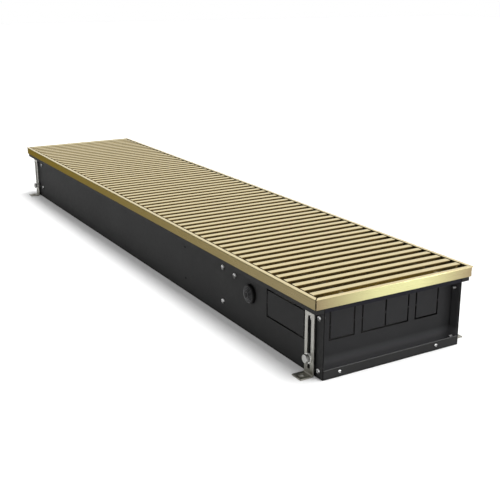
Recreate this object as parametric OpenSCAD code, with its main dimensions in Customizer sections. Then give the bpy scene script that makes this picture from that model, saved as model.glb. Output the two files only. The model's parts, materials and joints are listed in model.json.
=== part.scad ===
// Trench convector heater, a fan-assisted unit that sinks into a floor.
// X runs along the trough with the pipe end at +X. Y runs across it with the
// cable entry at -Y. Z is up, and the origin is the middle of the base, level
// with the trough's underside and the soles of the feet. All sizes are mm.

/* [Trough] */
// Length of the trough's floor and side walls
trough_l = 1230; // [1000:10:1600]
// Width across the outer faces of the side walls
trough_w = 233; // [227:1:300]
// Height of the top face of the side flanges
trough_h = 100; // [96:1:140]
// Thickness of the trough's sheet steel
sheet_t = 1.2; // [0.8:0.1:1.6]
// Width of the flange that turns outwards along each side
flange_w = 13.3; // [12:0.1:16]
// Depth of the turned-down edge of the flanges
flange_lip_h = 7; // [4:0.5:7]
// Height of the turned-up edge of the floor at each end
end_lip_h = 13.5; // [11:0.5:16]
// Depth of the recess from the trough's end to its end plate
end_recess = 16.5; // [15:0.5:24]

/* [Frame] */
// Height of the frame above the flanges
frame_h = 15; // [14:0.5:24]
// Width of the frame's flat top rim
rim_w = 6; // [5:0.5:10]
// Thickness of the rim
rim_t = 1.8; // [1.4:0.1:3]
// Overhang of the rim past the outer face of the skirt
rim_over = 1.2; // [0.4:0.1:2]
// Thickness of the skirt
skirt_t = 1.6; // [1.2:0.1:2.5]
// Width of the ledge that carries the grille, from the rim's edge inwards
ledge_w = 22; // [20:0.5:28]
// Thickness of the ledge
ledge_t = 1.6; // [1.2:0.1:2.5]
// Width of the open joint at each mitred corner
mitre_gap = 2; // [0.4:0.1:2]

/* [Grille] */
// Distance between the middles of neighbouring slats
slat_pitch = 20; // [16:0.5:26]
// Width of a slat
slat_w = 9.6; // [8:0.5:12]
// Wall thickness of the slat's channel section
slat_wall = 1.2; // [0.8:0.1:1.6]
// Depth of the slats' tops below the top of the rim
slat_recess = 0.5; // [0:0.1:2]
// Gap between the ends of the slats and the rim
slat_end_gap = 2.4; // [1:0.1:3]
// Shift of the grille from the middle towards the closed end
grille_shift = 3.5; // [-3.5:0.5:3.5]
// Distance of each link spring from the middle of the grille
link_y = 80; // [40:1:95]
// Radius of the link springs
link_r = 2; // [1.5:0.1:2.5]

/* [Heat exchanger] */
// Outer radius of the water tubes
tube_r = 7.5; // [6:0.5:8]
// Wall thickness of the water tubes
tube_wall = 0.8; // [0.6:0.1:1.2]
// Distance between the two columns of tubes
tube_pitch_y = 52; // [44:1:56]
// Distance between the two rows of tubes
tube_pitch_z = 28; // [26:1:30]
// Width of a fin
fin_w = 104; // [90:1:108]
// Height of a fin
fin_h = 56; // [50:1:58]
// Thickness of a fin
fin_t = 0.4; // [0.3:0.05:0.6]
// Distance between neighbouring fins
fin_pitch = 8; // [6:0.5:12]

/* [Fan] */
// Outer radius of the fan wheels
wheel_r = 30; // [26:0.5:31]
// Number of blades round each wheel
blade_n = 20; // [14:1:26]
// Thickness of a blade
blade_t = 0.7; // [0.5:0.1:1]
// Radius of the stub shafts
shaft_r = 4; // [3:0.1:4.5]
// Radial running clearance of shafts in their bearings
run_gap = 0.05; // [0.02:0.01:0.1]
// Outer radius of the motor's housing
motor_r = 28; // [26:0.5:29]
// Length of the motor's housing
motor_l = 46; // [42:1:50]

/* [Feet] */
// Distance from the trough's end to the middle of each foot
leg_s = 24.9; // [24.5:0.1:60]
// Width of a foot bracket
leg_w = 20.4; // [18:0.2:24]
// Distance from the top of the flanges down to the top of a foot bracket
leg_drop = 12.5; // [8:0.5:14]
// Thickness of a foot bracket
leg_t = 2; // [1.5:0.1:3]
// Distance a foot bracket stands off the side wall
leg_gap = 3; // [2.6:0.1:4]
// Length of the sole, from the bracket's inner face outwards
sole_l = 21.2; // [19:0.2:40]
// Radius of the fixing hole in the sole
sole_hole_r = 3.5; // [2.5:0.1:4]
// Width of the slot that the clamp screw passes through
slot_w = 8.2; // [6:0.1:9]
// Lowest point of the slot
slot_bottom = 19; // [17:0.5:21]
// Distance from the top of a foot bracket down to the top of the slot
slot_drop = 4.5; // [3.5:0.5:6]

/* [Openings] */
// Width of a square pipe knock-out in an end plate
knock_w = 41.2; // [30:0.1:41.5]
// Distance from the base to the bottom of the knock-outs
knock_z = 45.4; // [40:0.1:50]
// Width of the cuts round a knock-out
cut_w = 2; // [0.8:0.1:2.4]
// Distance from the pipe end to the cable entry
gland_s = 180.5; // [150:0.5:200]
// Distance from the top of the flanges down to the middle of the cable entry
gland_drop = 37.5; // [34:0.5:42]
// Radius of the bore through the cable entry
gland_bore_r = 3.5; // [2:0.1:5]

/* [Hidden] */
$fn = 48;

// Clearance between pieces that seat on each other
seat = 0.1;
// Overrun of every cut past the face it opens
over = 1;

// Trough: clear half width inside it, and half lengths and widths
half_l = trough_l / 2;
half_w = trough_w / 2;
inner_w = half_w - sheet_t;
gland_z = trough_h - gland_drop;

// Frame: it reaches past the flange's edge, and past the trough's ends
frame_play = 0.3;
frame_end_over = 4;
frame_w = trough_w + 2 * (flange_w + frame_play + skirt_t + rim_over);
frame_l = trough_l + 2 * frame_end_over;
rim_lip_t = 1.4;
rim_lip_h = 5;
rim_edge = 0.4;
rim_round_share = 0.75;
rim_round = rim_t * rim_round_share;
frame_top = trough_h + frame_h;
key_l = 28;
key_h = 6;
key_t = 1.5;

// Grille: slats rest on rubber strips laid on the ledge
strip_t = 1;
strip_w = 6;
strip_inset = 9;
slat_bottom = trough_h + ledge_t + strip_t + 2 * seat;
slat_h = frame_top - slat_recess - slat_bottom;
slat_l = frame_w - 2 * (rim_w + slat_end_gap);
slat_edge = 0.4;
slat_margin = 5;
slat_room = frame_l - 2 * (rim_w + slat_margin) - slat_w;
slat_n = 1 + floor(slat_room / slat_pitch);
slat_first = -(slat_n - 1) / 2 * slat_pitch - grille_shift;
slat_last = slat_first + (slat_n - 1) * slat_pitch;
link_lift = 4.5;
link_z = slat_bottom + link_lift;
link_play = 0.15;
spacer_r = 4;
link_cap_r = 4;
link_cap_t = 2.5;

// Bulkheads: sheet walls across the trough, screwed through the side walls
bulkhead_t = 1;
bulkhead_drop = 8;
bulkhead_top = trough_h - bulkhead_drop;
bulkhead_flange = 14;
bulkhead_s_connection = 263.3;
bulkhead_s_closed = 58;
bulkhead_screw_low = 24.3;
bulkhead_screw_drop = 21.2;
bulkhead_screw_zs = [bulkhead_screw_low, trough_h - bulkhead_screw_drop];
bulkhead_near = half_l - bulkhead_s_connection - bulkhead_flange / 2;
bulkhead_far = -half_l + bulkhead_s_closed + bulkhead_flange / 2;
bay_l = bulkhead_near - bulkhead_far - 2 * bulkhead_t;
bay_mid = (bulkhead_near + bulkhead_far) / 2;

// Heat exchanger: two columns and two rows of tubes
exch_y = 44;
exch_drop = 52;
exch_z = trough_h - exch_drop;
tube_ys = [exch_y - tube_pitch_y / 2, exch_y + tube_pitch_y / 2];
tube_zs = [exch_z - tube_pitch_z / 2, exch_z + tube_pitch_z / 2];
tube_past = 6;
fin_margin = 10;
fin_n = 1 + floor((bay_l - 2 * fin_margin) / fin_pitch);
fin_play = 0.1;
grommet_t = 1.6;
grommet_flange = 1.8;
grommet_l = 3.4;
grommet_hole_r = tube_r + seat + grommet_t;

// Threaded fittings: hexagon across flats, thread bore and its depth
fitting_af = 27;
fitting_l = 30;
fitting_hex_l = 22;
fitting_sleeve_r = 10.5;
thread_r = 9.3;
thread_l = 13;
solder_l = 11;
fitting_x = bulkhead_near + tube_past;
fitting_way_r = tube_r - tube_wall;

// Bleed valve on top of the front fitting
bleed_r = 5;
bleed_h = 9;
bleed_bore_r = 2.6;
bleed_screw_r = 2.5;
bleed_depth = 7;
bleed_head_r = 3.6;
bleed_head_h = 3;
bleed_slot_w = 0.8;
bleed_slot_d = 1.4;
bleed_way_r = 1.2;
bleed_x = fitting_x + (solder_l + fitting_l - thread_l) / 2;

// Fan: axis, scroll and tongue
fan_y = -66;
fan_drop = 50;
fan_z = trough_h - fan_drop;
scroll_gap = 6;
scroll_t = 0.8;
scroll_r = wheel_r + scroll_gap;
scroll_drop = 12;
scroll_top = trough_h - scroll_drop;
exch_front = exch_y - fin_w / 2;
scroll_fin_gap = 1;
scroll_out = exch_front - scroll_fin_gap;
scroll_lip_h = 5;
tongue_gap = 4;
tongue_y = fan_y + wheel_r;
tongue_z = fan_z + wheel_r;
tongue_drop = 14;
tongue_rise = 10;

// Fan wheels: two wheels with ring discs between their blades
wheel_end_gap = 8;
ring_t = 1;
ring_n = 4;
blade_depth = 6;
ring_w = 8;
hub_r = 9;
hub_l = 12;
hub_web_t = 1.5;
support_t = 1.5;
wheel_l = (bay_l - support_t) / 2 - 2 * wheel_end_gap;
wheel_near_x = bulkhead_near - bulkhead_t - wheel_end_gap;
wheel_far_x = bulkhead_far + bulkhead_t + wheel_end_gap;

// Blades: shares of their depth where the curve is set out, and the turn they take
blade_shares = [0, 0.5, 1];
blade_lead = 13;
blade_inset = 0.4;

// Centre support: its clearance in the scroll and its lightening holes
support_play = 0.3;
support_hole_at = 23;
support_hole_r = 6;

// Bearings: sleeve bushes in rubber rings
bush_r = 8;
bush_l = 9;
rubber_r = 13;
rubber_groove_r = 11;
rubber_l = 5;
bush_xs = [bay_mid, bulkhead_far + bulkhead_t / 2];
shaft_past = 2;

// Motor in front of the connection bulkhead
motor_plate_t = 2;
motor_plate_r = 36;
motor_wall = 1.4;
motor_front_l = 5;
motor_boss_r = 10;
motor_cap_t = 6;
motor_cap_r = 10;
stator_t = 6;
stator_inset = 9;
rotor_gap = 1.2;
motor_screw_n = 3;
motor_screw_at = 32;
motor_vent_n = 8;
motor_vent_w = 2.4;
motor_vent_at = 17;
motor_vent_l = 7;
motor_z = motor_plate_t + seat;
motor_boss_past = 1.5;
stator_r = motor_r - motor_wall - seat;
stator_z = motor_z + stator_inset;
stator_l = motor_l - stator_inset - stator_inset / 2;

// Terminal box beside the cable entry
box_s = 173;
box_l = 54;
box_w = 54;
box_wall_gap = 12.3;
box_h = 44;
box_wall = 2;
box_corner = 4;
lid_t = 3;
lid_rim_h = 4;
lid_rim_t = 1.4;
block_l = 40;
block_w = 12;
block_h = 12;
block_way_n = 5;
block_way_r = 2;
block_way_d = 5;
board_t = 1.6;
board_edge = 3;
board_post_h = 5;
board_post_r = 3;
relay_l = 20;
relay_w = 11;
relay_h = 12;
capacitor_r = 5;
capacitor_h = 14;
box_x = half_l - box_s;
box_y = box_wall_gap + box_w / 2 - inner_w;
box_z = sheet_t + seat;
box_in_l = box_l - 2 * box_wall;
box_in_w = box_w - 2 * box_wall;
board_top = box_z + box_wall + board_post_h + seat + board_t;

// Cable gland: a stepped rubber grommet
gland_hole_r = 11;
gland_flange_r = 14.1;
gland_flange_t = 5;
gland_inner_r = 13;
gland_inner_t = 2.5;
gland_step_n = 4;
gland_cone_r = 12.8;
gland_tip_r = 4.6;
gland_cone_h = 3.2;
gland_groove = 0.4;

// Earth terminal in the electrical space
earth_s = 226.8;
earth_drop = 24;
earth_z = trough_h - earth_drop;
earth_l = 18;
earth_h = 14;
earth_w = 12;
earth_t = 1.2;
earth_bore_r = 2.1;

// Small spare holes in the front wall
spare_hole_s = 393;
spare_hole_low = 23.2;
spare_hole_drop = 22.7;
spare_hole_zs = [spare_hole_low, trough_h - spare_hole_drop];
spare_hole_r = 1.6;

// Screws: shank, head and recess of the thread-forming pan screws
screw_r = 2;
screw_hole_play = 0.15;
pan_r = 4;
pan_h = 2.6;
pan_low_h = 1.9;
pan_share = 0.5;
recess_share = 0.55;
recess_w = 1;
recess_d = 1;
end_screw_l = 7.5;
end_screw_s = 9.7;
end_pan_r = 3.7;
end_pan_h = 1.8;
end_screw_low = 9.8;
end_screw_drop = 17.4;
end_screw_zs = [end_screw_low, trough_h - end_screw_drop];
lip_screw_ys = [-90, 75];
lip_screw_z = 7.5;
lip_screw_r = 1.5;
lip_pan_r = 2.5;
lip_pan_h = 1.8;
lip_screw_l = 7;
lip_nut_r = 3.2;
lip_nut_t = 2.4;
return_lip_h = 11;
bulkhead_screw_l = 7;

// Clamps of the feet: disc-headed screw, split spring washer, flat washer and rivet nut
clamp_z = 24;
clamp_r = 2.5;
clamp_head_r = 5.8;
clamp_head_h = 3.8;
clamp_in = 8;
clamp_washer_r = 7;
clamp_washer_t = 1.8;
split_washer_r = 4.6;
split_washer_t = 1;
split_washer_gap = 0.8;
split_washer_z = leg_gap + leg_t + clamp_washer_t + 2 * seat;
clamp_head_out = split_washer_z + split_washer_t + seat;
rivet_nut_r = 4;
rivet_nut_wall_play = 0.1;
rivet_nut_l = 11;
guide_drop = 21.5;
guide_z = trough_h - guide_drop;
guide_s = 26;
guide_head_r = 3.3;
guide_l = 6;

// Feet: fold at the sole, collar round the fixing hole and the square hole
leg_bend_r = 2;
leg_h = trough_h - leg_drop;
slot_top = leg_h - slot_drop;
sole_hole_y = 14.9;
collar_t = 1.2;
collar_h = 0.8;
square_hole_w = 5.5;
square_hole_h = 6.8;
square_hole_z = 8.6;

// Knock-outs: places across the end plates and along the front wall
knock_pair_y = -22.9;
knock_left_y = -75.4;
knock_right_y = 69.2;
knock_drop = 11.5;
knock_h = trough_h - knock_drop - knock_z;
knock_tab = 2;
side_knock_s = 42.5;
side_knock_l = 94.5;
side_knock_z = 42.5;
side_knock_drop = 16;
side_knock_h = trough_h - side_knock_drop - side_knock_z;

// Repeats its children mirrored across the plane square to v
module twice(v) {
    children();
    mirror(v) children();
}

// Extrudes an outline drawn in Y and Z along X, centred on the origin
module along_x(length) {
    rotate([90, 0, 90]) linear_extrude(length, center = true) children();
}

// Puts children on the outer face of the front wall, their +Z outwards
module on_front_wall(x, z) {
    translate([x, -half_w, z]) rotate([90, 0, 0]) children();
}

// Puts children on the outer face of the floor's end edge, their +Z outwards
module on_end(y, z) {
    translate([half_l, y, z]) rotate([0, 90, 0]) children();
}

// Puts children at the screws of the floor's upturned ends, at both ends
module lip_places() {
    twice([1, 0, 0])
        for (y = lip_screw_ys)
            on_end(y, lip_screw_z) children();
}

// Repeats its children on both side walls
module both_walls() {
    twice([0, 1, 0]) children();
}

// Repeats its children at the four corners of the trough
module four_corners() {
    twice([1, 0, 0]) both_walls() children();
}

module ring(outer, inner, height) {
    difference() {
        cylinder(r = outer, h = height);
        translate([0, 0, -over]) cylinder(r = inner, h = height + 2 * over);
    }
}

module hexagon(across_flats, height) {
    cylinder(r = across_flats / sqrt(3), h = height, $fn = 6);
}

// Pan head screw standing on the XY plane, its shank pointing down
module pan_screw(shank_r, shank_l, head_r, head_h) {
    rise = head_h * pan_share;
    dome_r = (head_r * head_r + rise * rise) / (2 * rise);
    difference() {
        union() {
            translate([0, 0, -shank_l]) cylinder(r = shank_r, h = shank_l + head_h / 2);
            intersection() {
                cylinder(r = head_r, h = head_h);
                translate([0, 0, head_h - dome_r]) sphere(dome_r, $fn = 96);
            }
        }
        translate([0, 0, head_h - recess_d]) {
            for (turn = [0, 90])
                rotate(turn)
                    translate([-head_r * recess_share, -recess_w / 2, 0])
                        cube([2 * head_r * recess_share, recess_w, recess_d + over]);
        }
    }
}

// Cuts round a rectangle, w by h from its corner, with tabs left at mid height
module knock_cuts(w, h) {
    tab_z = (h - knock_tab) / 2;
    for (z = [0, h - cut_w])
        translate([0, z]) square([w, cut_w]);
    for (x = [0, w - cut_w])
        for (z = [0, h - tab_z])
            translate([x, z]) square([cut_w, tab_z]);
}

// Section of a side wall in Y and Z, with its flange turned outwards to +Y
module wall_outline() {
    translate([inner_w, 0]) square([sheet_t, trough_h]);
    translate([inner_w, trough_h - sheet_t]) square([sheet_t + flange_w, sheet_t]);
    translate([half_w + flange_w - sheet_t, trough_h - flange_lip_h])
        square([sheet_t, flange_lip_h]);
}

// Round hole through the trough's sheet, under a place on its outer face
module sheet_hole(r) {
    translate([0, 0, -sheet_t - over]) cylinder(r = r, h = sheet_t + 2 * over);
}

// Floor between the side walls, with its upturned ends parted from it along their folds
module trough_floor() {
    reach = inner_w - seat;
    lip_z = sheet_t + seat;
    color("#353536") {
        translate([-half_l, -reach, 0]) cube([trough_l, 2 * reach, sheet_t]);
        difference() {
            twice([1, 0, 0])
                translate([half_l - sheet_t, -reach, lip_z])
                    cube([sheet_t, 2 * reach, end_lip_h - lip_z]);
            lip_places() sheet_hole(lip_screw_r + screw_hole_play);
        }
    }
}

// Side wall at the front, its flange closed at both ends, with the holes that both walls have
module plain_wall() {
    twice([1, 0, 0])
        translate([half_l - sheet_t, -half_w - flange_w, trough_h - flange_lip_h])
            cube([sheet_t, sheet_t + flange_w, flange_lip_h]);
    difference() {
        mirror([0, 1, 0]) along_x(trough_l) wall_outline();
        twice([1, 0, 0]) {
            on_front_wall(half_l - leg_s, clamp_z) sheet_hole(rivet_nut_r + rivet_nut_wall_play);
            on_front_wall(half_l - guide_s, guide_z) sheet_hole(screw_r + screw_hole_play);
            for (z = end_screw_zs)
                on_front_wall(half_l - end_screw_s, z) sheet_hole(screw_r + screw_hole_play);
        }
        for (s = [bulkhead_s_connection, trough_l - bulkhead_s_closed], z = bulkhead_screw_zs)
            on_front_wall(half_l - s, z) sheet_hole(screw_r + screw_hole_play);
    }
}

module trough_wall_front() {
    color("#353536") difference() {
        plain_wall();
        on_front_wall(half_l - gland_s, gland_z) sheet_hole(gland_hole_r);
        on_front_wall(half_l - earth_s, earth_z) sheet_hole(screw_r + screw_hole_play);
        for (z = spare_hole_zs)
            on_front_wall(half_l - spare_hole_s, z) sheet_hole(spare_hole_r);
        translate([half_l - side_knock_s - side_knock_l, over - inner_w, side_knock_z])
            rotate([90, 0, 0])
                linear_extrude(sheet_t + 2 * over) knock_cuts(side_knock_l, side_knock_h);
    }
}

module trough_wall_rear() {
    color("#353536") mirror([0, 1, 0]) plain_wall();
}

// End plate with flanges turned outwards on all four sides
module end_plate_sheet() {
    face_x = half_l - end_recess;
    reach = inner_w - seat;
    foot_z = sheet_t + seat;
    front_x = half_l - sheet_t - seat;
    translate([face_x - sheet_t, -reach, foot_z])
        cube([sheet_t, 2 * reach, trough_h - foot_z]);
    translate([face_x - sheet_t, -reach, foot_z])
        cube([front_x - face_x + sheet_t, 2 * reach, sheet_t]);
    translate([front_x - sheet_t, -reach, foot_z])
        cube([sheet_t, 2 * reach, return_lip_h - foot_z]);
    both_walls()
        translate([face_x - sheet_t, -reach, foot_z])
            cube([front_x - face_x + sheet_t, sheet_t, trough_h - foot_z]);
    translate([face_x - sheet_t, -reach, trough_h - sheet_t])
        cube([end_recess + sheet_t, 2 * reach, sheet_t]);
    translate([half_l - sheet_t, -reach, trough_h - flange_lip_h])
        cube([sheet_t, 2 * reach, flange_lip_h]);
}

module end_plate_holed() {
    difference() {
        end_plate_sheet();
        both_walls() {
            for (z = end_screw_zs)
                on_front_wall(half_l - end_screw_s, z)
                    translate([0, 0, -sheet_t]) sheet_hole(screw_r + screw_hole_play);
        }
        lip_places() translate([0, 0, -sheet_t - seat]) sheet_hole(lip_screw_r + screw_hole_play);
    }
}

module end_plate_connection() {
    color("#3a3a3b") difference() {
        end_plate_holed();
        for (y = [knock_left_y, knock_pair_y, knock_pair_y + knock_w - cut_w, knock_right_y])
            translate([half_l - end_recess - sheet_t - over, y - knock_w / 2, knock_z])
                rotate([90, 0, 90])
                    linear_extrude(sheet_t + 2 * over) knock_cuts(knock_w, knock_h);
    }
}

module end_plate_closed() {
    color("#3a3a3b") mirror([1, 0, 0]) end_plate_holed();
}

// Section of a frame rail: across from the rim's outer edge, and up from the ledge
module rail_outline() {
    skirt_in = rim_over + skirt_t;
    lip_in = rim_w - rim_lip_t;
    polygon([
        [rim_over, 0],
        [ledge_w, 0],
        [ledge_w, ledge_t],
        [skirt_in, ledge_t],
        [skirt_in, frame_h - rim_t],
        [lip_in, frame_h - rim_t],
        [lip_in, frame_h - rim_lip_h],
        [rim_w, frame_h - rim_lip_h],
        [rim_w, frame_h - rim_edge],
        [rim_w - rim_edge, frame_h],
        for (turn = [0 : 22.5 : 90])
            [rim_round * (1 - sin(turn)), frame_h - rim_round * (1 - cos(turn))],
        [0, frame_h - rim_t],
        [rim_over, frame_h - rim_t]
    ]);
}

// Rail along X with mitred ends, its outer edge on the X axis and its width in +Y
module mitred_rail(length) {
    cut = mitre_gap / 2;
    intersection() {
        along_x(length) rail_outline();
        linear_extrude(frame_h)
            polygon([
                [cut - length / 2, 0],
                [length / 2 - cut, 0],
                [length / 2 - cut - ledge_w, ledge_w],
                [cut + ledge_w - length / 2, ledge_w]
            ]);
    }
}

module frame_rail_front() {
    color("#b3a06a") translate([0, -frame_w / 2, trough_h]) mitred_rail(frame_l);
}

module frame_rail_rear() {
    color("#b3a06a") translate([0, frame_w / 2, trough_h]) rotate(180) mitred_rail(frame_l);
}

module frame_rail_connection() {
    color("#c9b57a") translate([frame_l / 2, 0, trough_h]) rotate(90) mitred_rail(frame_w);
}

module frame_rail_closed() {
    color("#c9b57a") translate([-frame_l / 2, 0, trough_h]) rotate(-90) mitred_rail(frame_w);
}

module frame_corner_keys() {
    inset = rim_over + skirt_t + seat;
    color("#8f8f8f") twice([1, 0, 0]) twice([0, 1, 0])
        translate([inset - frame_l / 2, inset - frame_w / 2, trough_h + ledge_t + seat]) {
            cube([key_l, key_t, key_h]);
            cube([key_t, key_l, key_h]);
        }
}

module grille_rest_strips() {
    strip_l = frame_l - 2 * ledge_w;
    color("#1c1c1c") both_walls()
        translate([-strip_l / 2, strip_inset - frame_w / 2, trough_h + ledge_t + seat])
            cube([strip_l, strip_w, strip_t]);
}

// Channel section of a slat, open below
module slat_outline() {
    half = slat_w / 2;
    polygon([
        [-half, 0],
        [-half, slat_h - slat_edge],
        [slat_edge - half, slat_h],
        [half - slat_edge, slat_h],
        [half, slat_h - slat_edge],
        [half, 0],
        [half - slat_wall, 0],
        [half - slat_wall, slat_h - slat_wall],
        [slat_wall - half, slat_h - slat_wall],
        [slat_wall - half, 0]
    ]);
}

module slat() {
    difference() {
        rotate([90, 0, 0]) linear_extrude(slat_l, center = true) slat_outline();
        both_walls()
            translate([-slat_w / 2 - over, -link_y, link_lift])
                rotate([0, 90, 0]) cylinder(r = link_r + link_play, h = slat_w + 2 * over);
    }
}

module grille_slats() {
    color("#e2d7a6")
        for (i = [0 : slat_n - 1])
            translate([slat_first + i * slat_pitch, 0, slat_bottom]) slat();
}

// Puts children on the link springs' axes, their +Z along +X
module on_links(x) {
    both_walls() translate([x, -link_y, link_z]) rotate([0, 90, 0]) children();
}

module grille_link_springs() {
    past = slat_w / 2 + link_cap_t / 2;
    color("#77787a")
        on_links(slat_first - past) cylinder(r = link_r, h = slat_last - slat_first + 2 * past);
}

module grille_spacers() {
    color("#202020")
        for (i = [0 : slat_n - 2])
            on_links(slat_first + i * slat_pitch + slat_w / 2 + seat)
                ring(spacer_r, link_r + link_play, slat_pitch - slat_w - 2 * seat);
}

module grille_end_caps() {
    color("#9a9a9a") {
        on_links(slat_last + slat_w / 2 + seat) link_cap();
        on_links(slat_first - slat_w / 2 - seat) mirror([0, 0, 1]) link_cap();
    }
}

module link_cap() {
    difference() {
        cylinder(r = link_cap_r, h = link_cap_t);
        translate([0, 0, -over]) cylinder(r = link_r + link_play, h = link_cap_t / 2 + seat + over);
    }
}

module fin() {
    rotate([90, 0, 90]) linear_extrude(fin_t) difference() {
        translate([exch_y - fin_w / 2, exch_z - fin_h / 2]) square([fin_w, fin_h]);
        for (y = tube_ys, z = tube_zs)
            translate([y, z]) circle(tube_r + fin_play);
    }
}

module exchanger_fins() {
    color("#c4c8cb")
        for (i = [0 : fin_n - 1])
            translate([bay_mid + (i - (fin_n - 1) / 2) * fin_pitch - fin_t / 2, 0, 0]) fin();
}

module tube_section() {
    difference() {
        circle(tube_r);
        circle(tube_r - tube_wall);
    }
}

// Lower tubes stop short for the return bend, upper ones reach into the fittings
module exchanger_tubes() {
    start = bulkhead_far - tube_past;
    ends = [bulkhead_near + tube_past, bulkhead_near + tube_past + solder_l];
    color("#b5714a")
        for (y = tube_ys, row = [0, 1])
            translate([start, y, tube_zs[row]])
                rotate([0, 90, 0]) linear_extrude(ends[row] - start) tube_section();
}

module exchanger_bends() {
    color("#b5714a") {
        for (y = tube_ys)
            translate([bulkhead_far - tube_past - seat, y, exch_z])
                rotate([90, 0, 0]) rotate(90)
                    rotate_extrude(angle = 180) translate([tube_pitch_z / 2, 0]) tube_section();
        translate([bulkhead_near + tube_past + seat, exch_y, tube_zs[0]])
            rotate(-90)
                rotate_extrude(angle = 180) translate([tube_pitch_y / 2, 0]) tube_section();
    }
}

// Soldered sleeve with a threaded hexagon, along +X from its tube end
module fitting() {
    rotate([0, 90, 0]) difference() {
        union() {
            cylinder(r = fitting_sleeve_r, h = fitting_l - over);
            translate([0, 0, fitting_l - fitting_hex_l])
                rotate(30) hexagon(fitting_af, fitting_hex_l);
        }
        translate([0, 0, -over]) cylinder(r = tube_r + fin_play, h = solder_l + seat + over);
        cylinder(r = fitting_way_r, h = fitting_l);
        translate([0, 0, fitting_l - thread_l]) cylinder(r = thread_r, h = thread_l + over);
    }
}

module exchanger_fittings() {
    color("#c6a24e") difference() {
        for (y = tube_ys)
            translate([fitting_x, y, tube_zs[1]]) fitting();
        bleed_place() translate([0, 0, -fitting_af / 2]) cylinder(r = bleed_way_r, h = fitting_af);
    }
}

// Puts children on the top flat of the front fitting
module bleed_place() {
    translate([
        bleed_x,
        tube_ys[0],
        tube_zs[1] + fitting_af / 2 + seat
    ]) children();
}

module bleed_valve_body() {
    color("#c6a24e") bleed_place() difference() {
        union() {
            cylinder(r = bleed_r, h = bleed_h);
            hexagon(2 * bleed_r, bleed_h / 2);
        }
        translate([0, 0, bleed_h - bleed_depth])
            cylinder(r = bleed_bore_r, h = bleed_depth + over);
        translate([0, 0, -over]) cylinder(r = bleed_way_r, h = bleed_h);
    }
}

module bleed_screw() {
    color("#d8d8d8") bleed_place() translate([0, 0, bleed_h + seat]) difference() {
        union() {
            cylinder(r = bleed_head_r, h = bleed_head_h);
            translate([0, 0, seat - bleed_depth]) cylinder(r = bleed_screw_r, h = bleed_depth);
        }
        translate([-bleed_head_r - over, -bleed_slot_w / 2, bleed_head_h - bleed_slot_d])
            cube([2 * (bleed_head_r + over), bleed_slot_w, bleed_slot_d + over]);
    }
}

// Ring with a groove that clips into a hole in sheet of thickness t
module grooved_ring(bore, groove, flange, length, t) {
    lip = t / 2 + seat;
    rotate_extrude()
        polygon([
            [bore, -length / 2],
            [flange, -length / 2],
            [flange, -lip],
            [groove, -lip],
            [groove, lip],
            [flange, lip],
            [flange, length / 2],
            [bore, length / 2]
        ]);
}

module tube_grommets() {
    color("#1b1b1b")
        for (x = [bulkhead_near - bulkhead_t / 2, bulkhead_far + bulkhead_t / 2],
                y = tube_ys, z = tube_zs)
            translate([x, y, z]) rotate([0, 90, 0])
                grooved_ring(tube_r + seat, grommet_hole_r - seat,
                    grommet_hole_r + grommet_flange, grommet_l, bulkhead_t);
}

// Sheet wall across the trough, its flanges turned towards +X, its face at X zero
module bulkhead(fan_hole_r) {
    reach = inner_w - seat;
    foot_z = sheet_t + seat;
    difference() {
        union() {
            translate([-bulkhead_t, -reach, foot_z])
                cube([bulkhead_t, 2 * reach, bulkhead_top - foot_z]);
            both_walls()
                translate([-bulkhead_t, -reach, foot_z])
                    cube([bulkhead_t + bulkhead_flange, bulkhead_t, bulkhead_top - foot_z]);
        }
        both_walls()
            for (z = bulkhead_screw_zs)
                translate([bulkhead_flange / 2, over - reach, z]) rotate([90, 0, 0])
                    cylinder(r = screw_r + screw_hole_play, h = bulkhead_t + 2 * over + seat);
        for (y = tube_ys, z = tube_zs)
            bulkhead_hole(y, z, grommet_hole_r);
        bulkhead_hole(fan_y, fan_z, fan_hole_r);
    }
}

module bulkhead_hole(y, z, r) {
    translate([-bulkhead_t - over, y, z])
        rotate([0, 90, 0]) cylinder(r = r, h = bulkhead_t + 2 * over);
}

module bulkhead_connection() {
    color("#a9adb0") translate([bulkhead_near, 0, 0]) bulkhead(motor_boss_r + seat);
}

module bulkhead_closed() {
    color("#a9adb0")
        translate([bulkhead_far, 0, 0]) mirror([1, 0, 0]) bulkhead(rubber_groove_r);
}

// Extrudes an outline, drawn round the fan's axis, over the fan's bay
module along_bay() {
    translate([bay_mid, fan_y, fan_z]) along_x(bay_l - 2 * seat) children();
}

module fan_scroll() {
    top = scroll_top - fan_z;
    wall_y = seat - inner_w - fan_y;
    color("#8c9094") along_bay() {
        intersection() {
            difference() {
                circle(scroll_r + scroll_t);
                circle(scroll_r);
            }
            translate([-scroll_r - scroll_t, -scroll_r - scroll_t])
                square(scroll_r + scroll_t);
        }
        translate([-scroll_r - scroll_t, 0]) square([scroll_t, top]);
        translate([wall_y, top - scroll_t])
            square([-scroll_r - wall_y, scroll_t]);
        translate([0, -scroll_r - scroll_t]) square([scroll_out - fan_y, scroll_t]);
        translate([scroll_out - fan_y - scroll_t, -scroll_r - scroll_t])
            square([scroll_t, scroll_lip_h]);
    }
}

module fan_tongue() {
    near = tongue_y - fan_y;
    far = scroll_out - fan_y;
    level = tongue_z - fan_z;
    color("#8c9094") along_bay() {
        translate([near, level]) square([far - near, scroll_t]);
        translate([near, level - tongue_drop]) square([scroll_t, tongue_drop + scroll_t]);
        translate([far - scroll_t, level]) square([scroll_t, tongue_rise]);
    }
}

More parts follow.
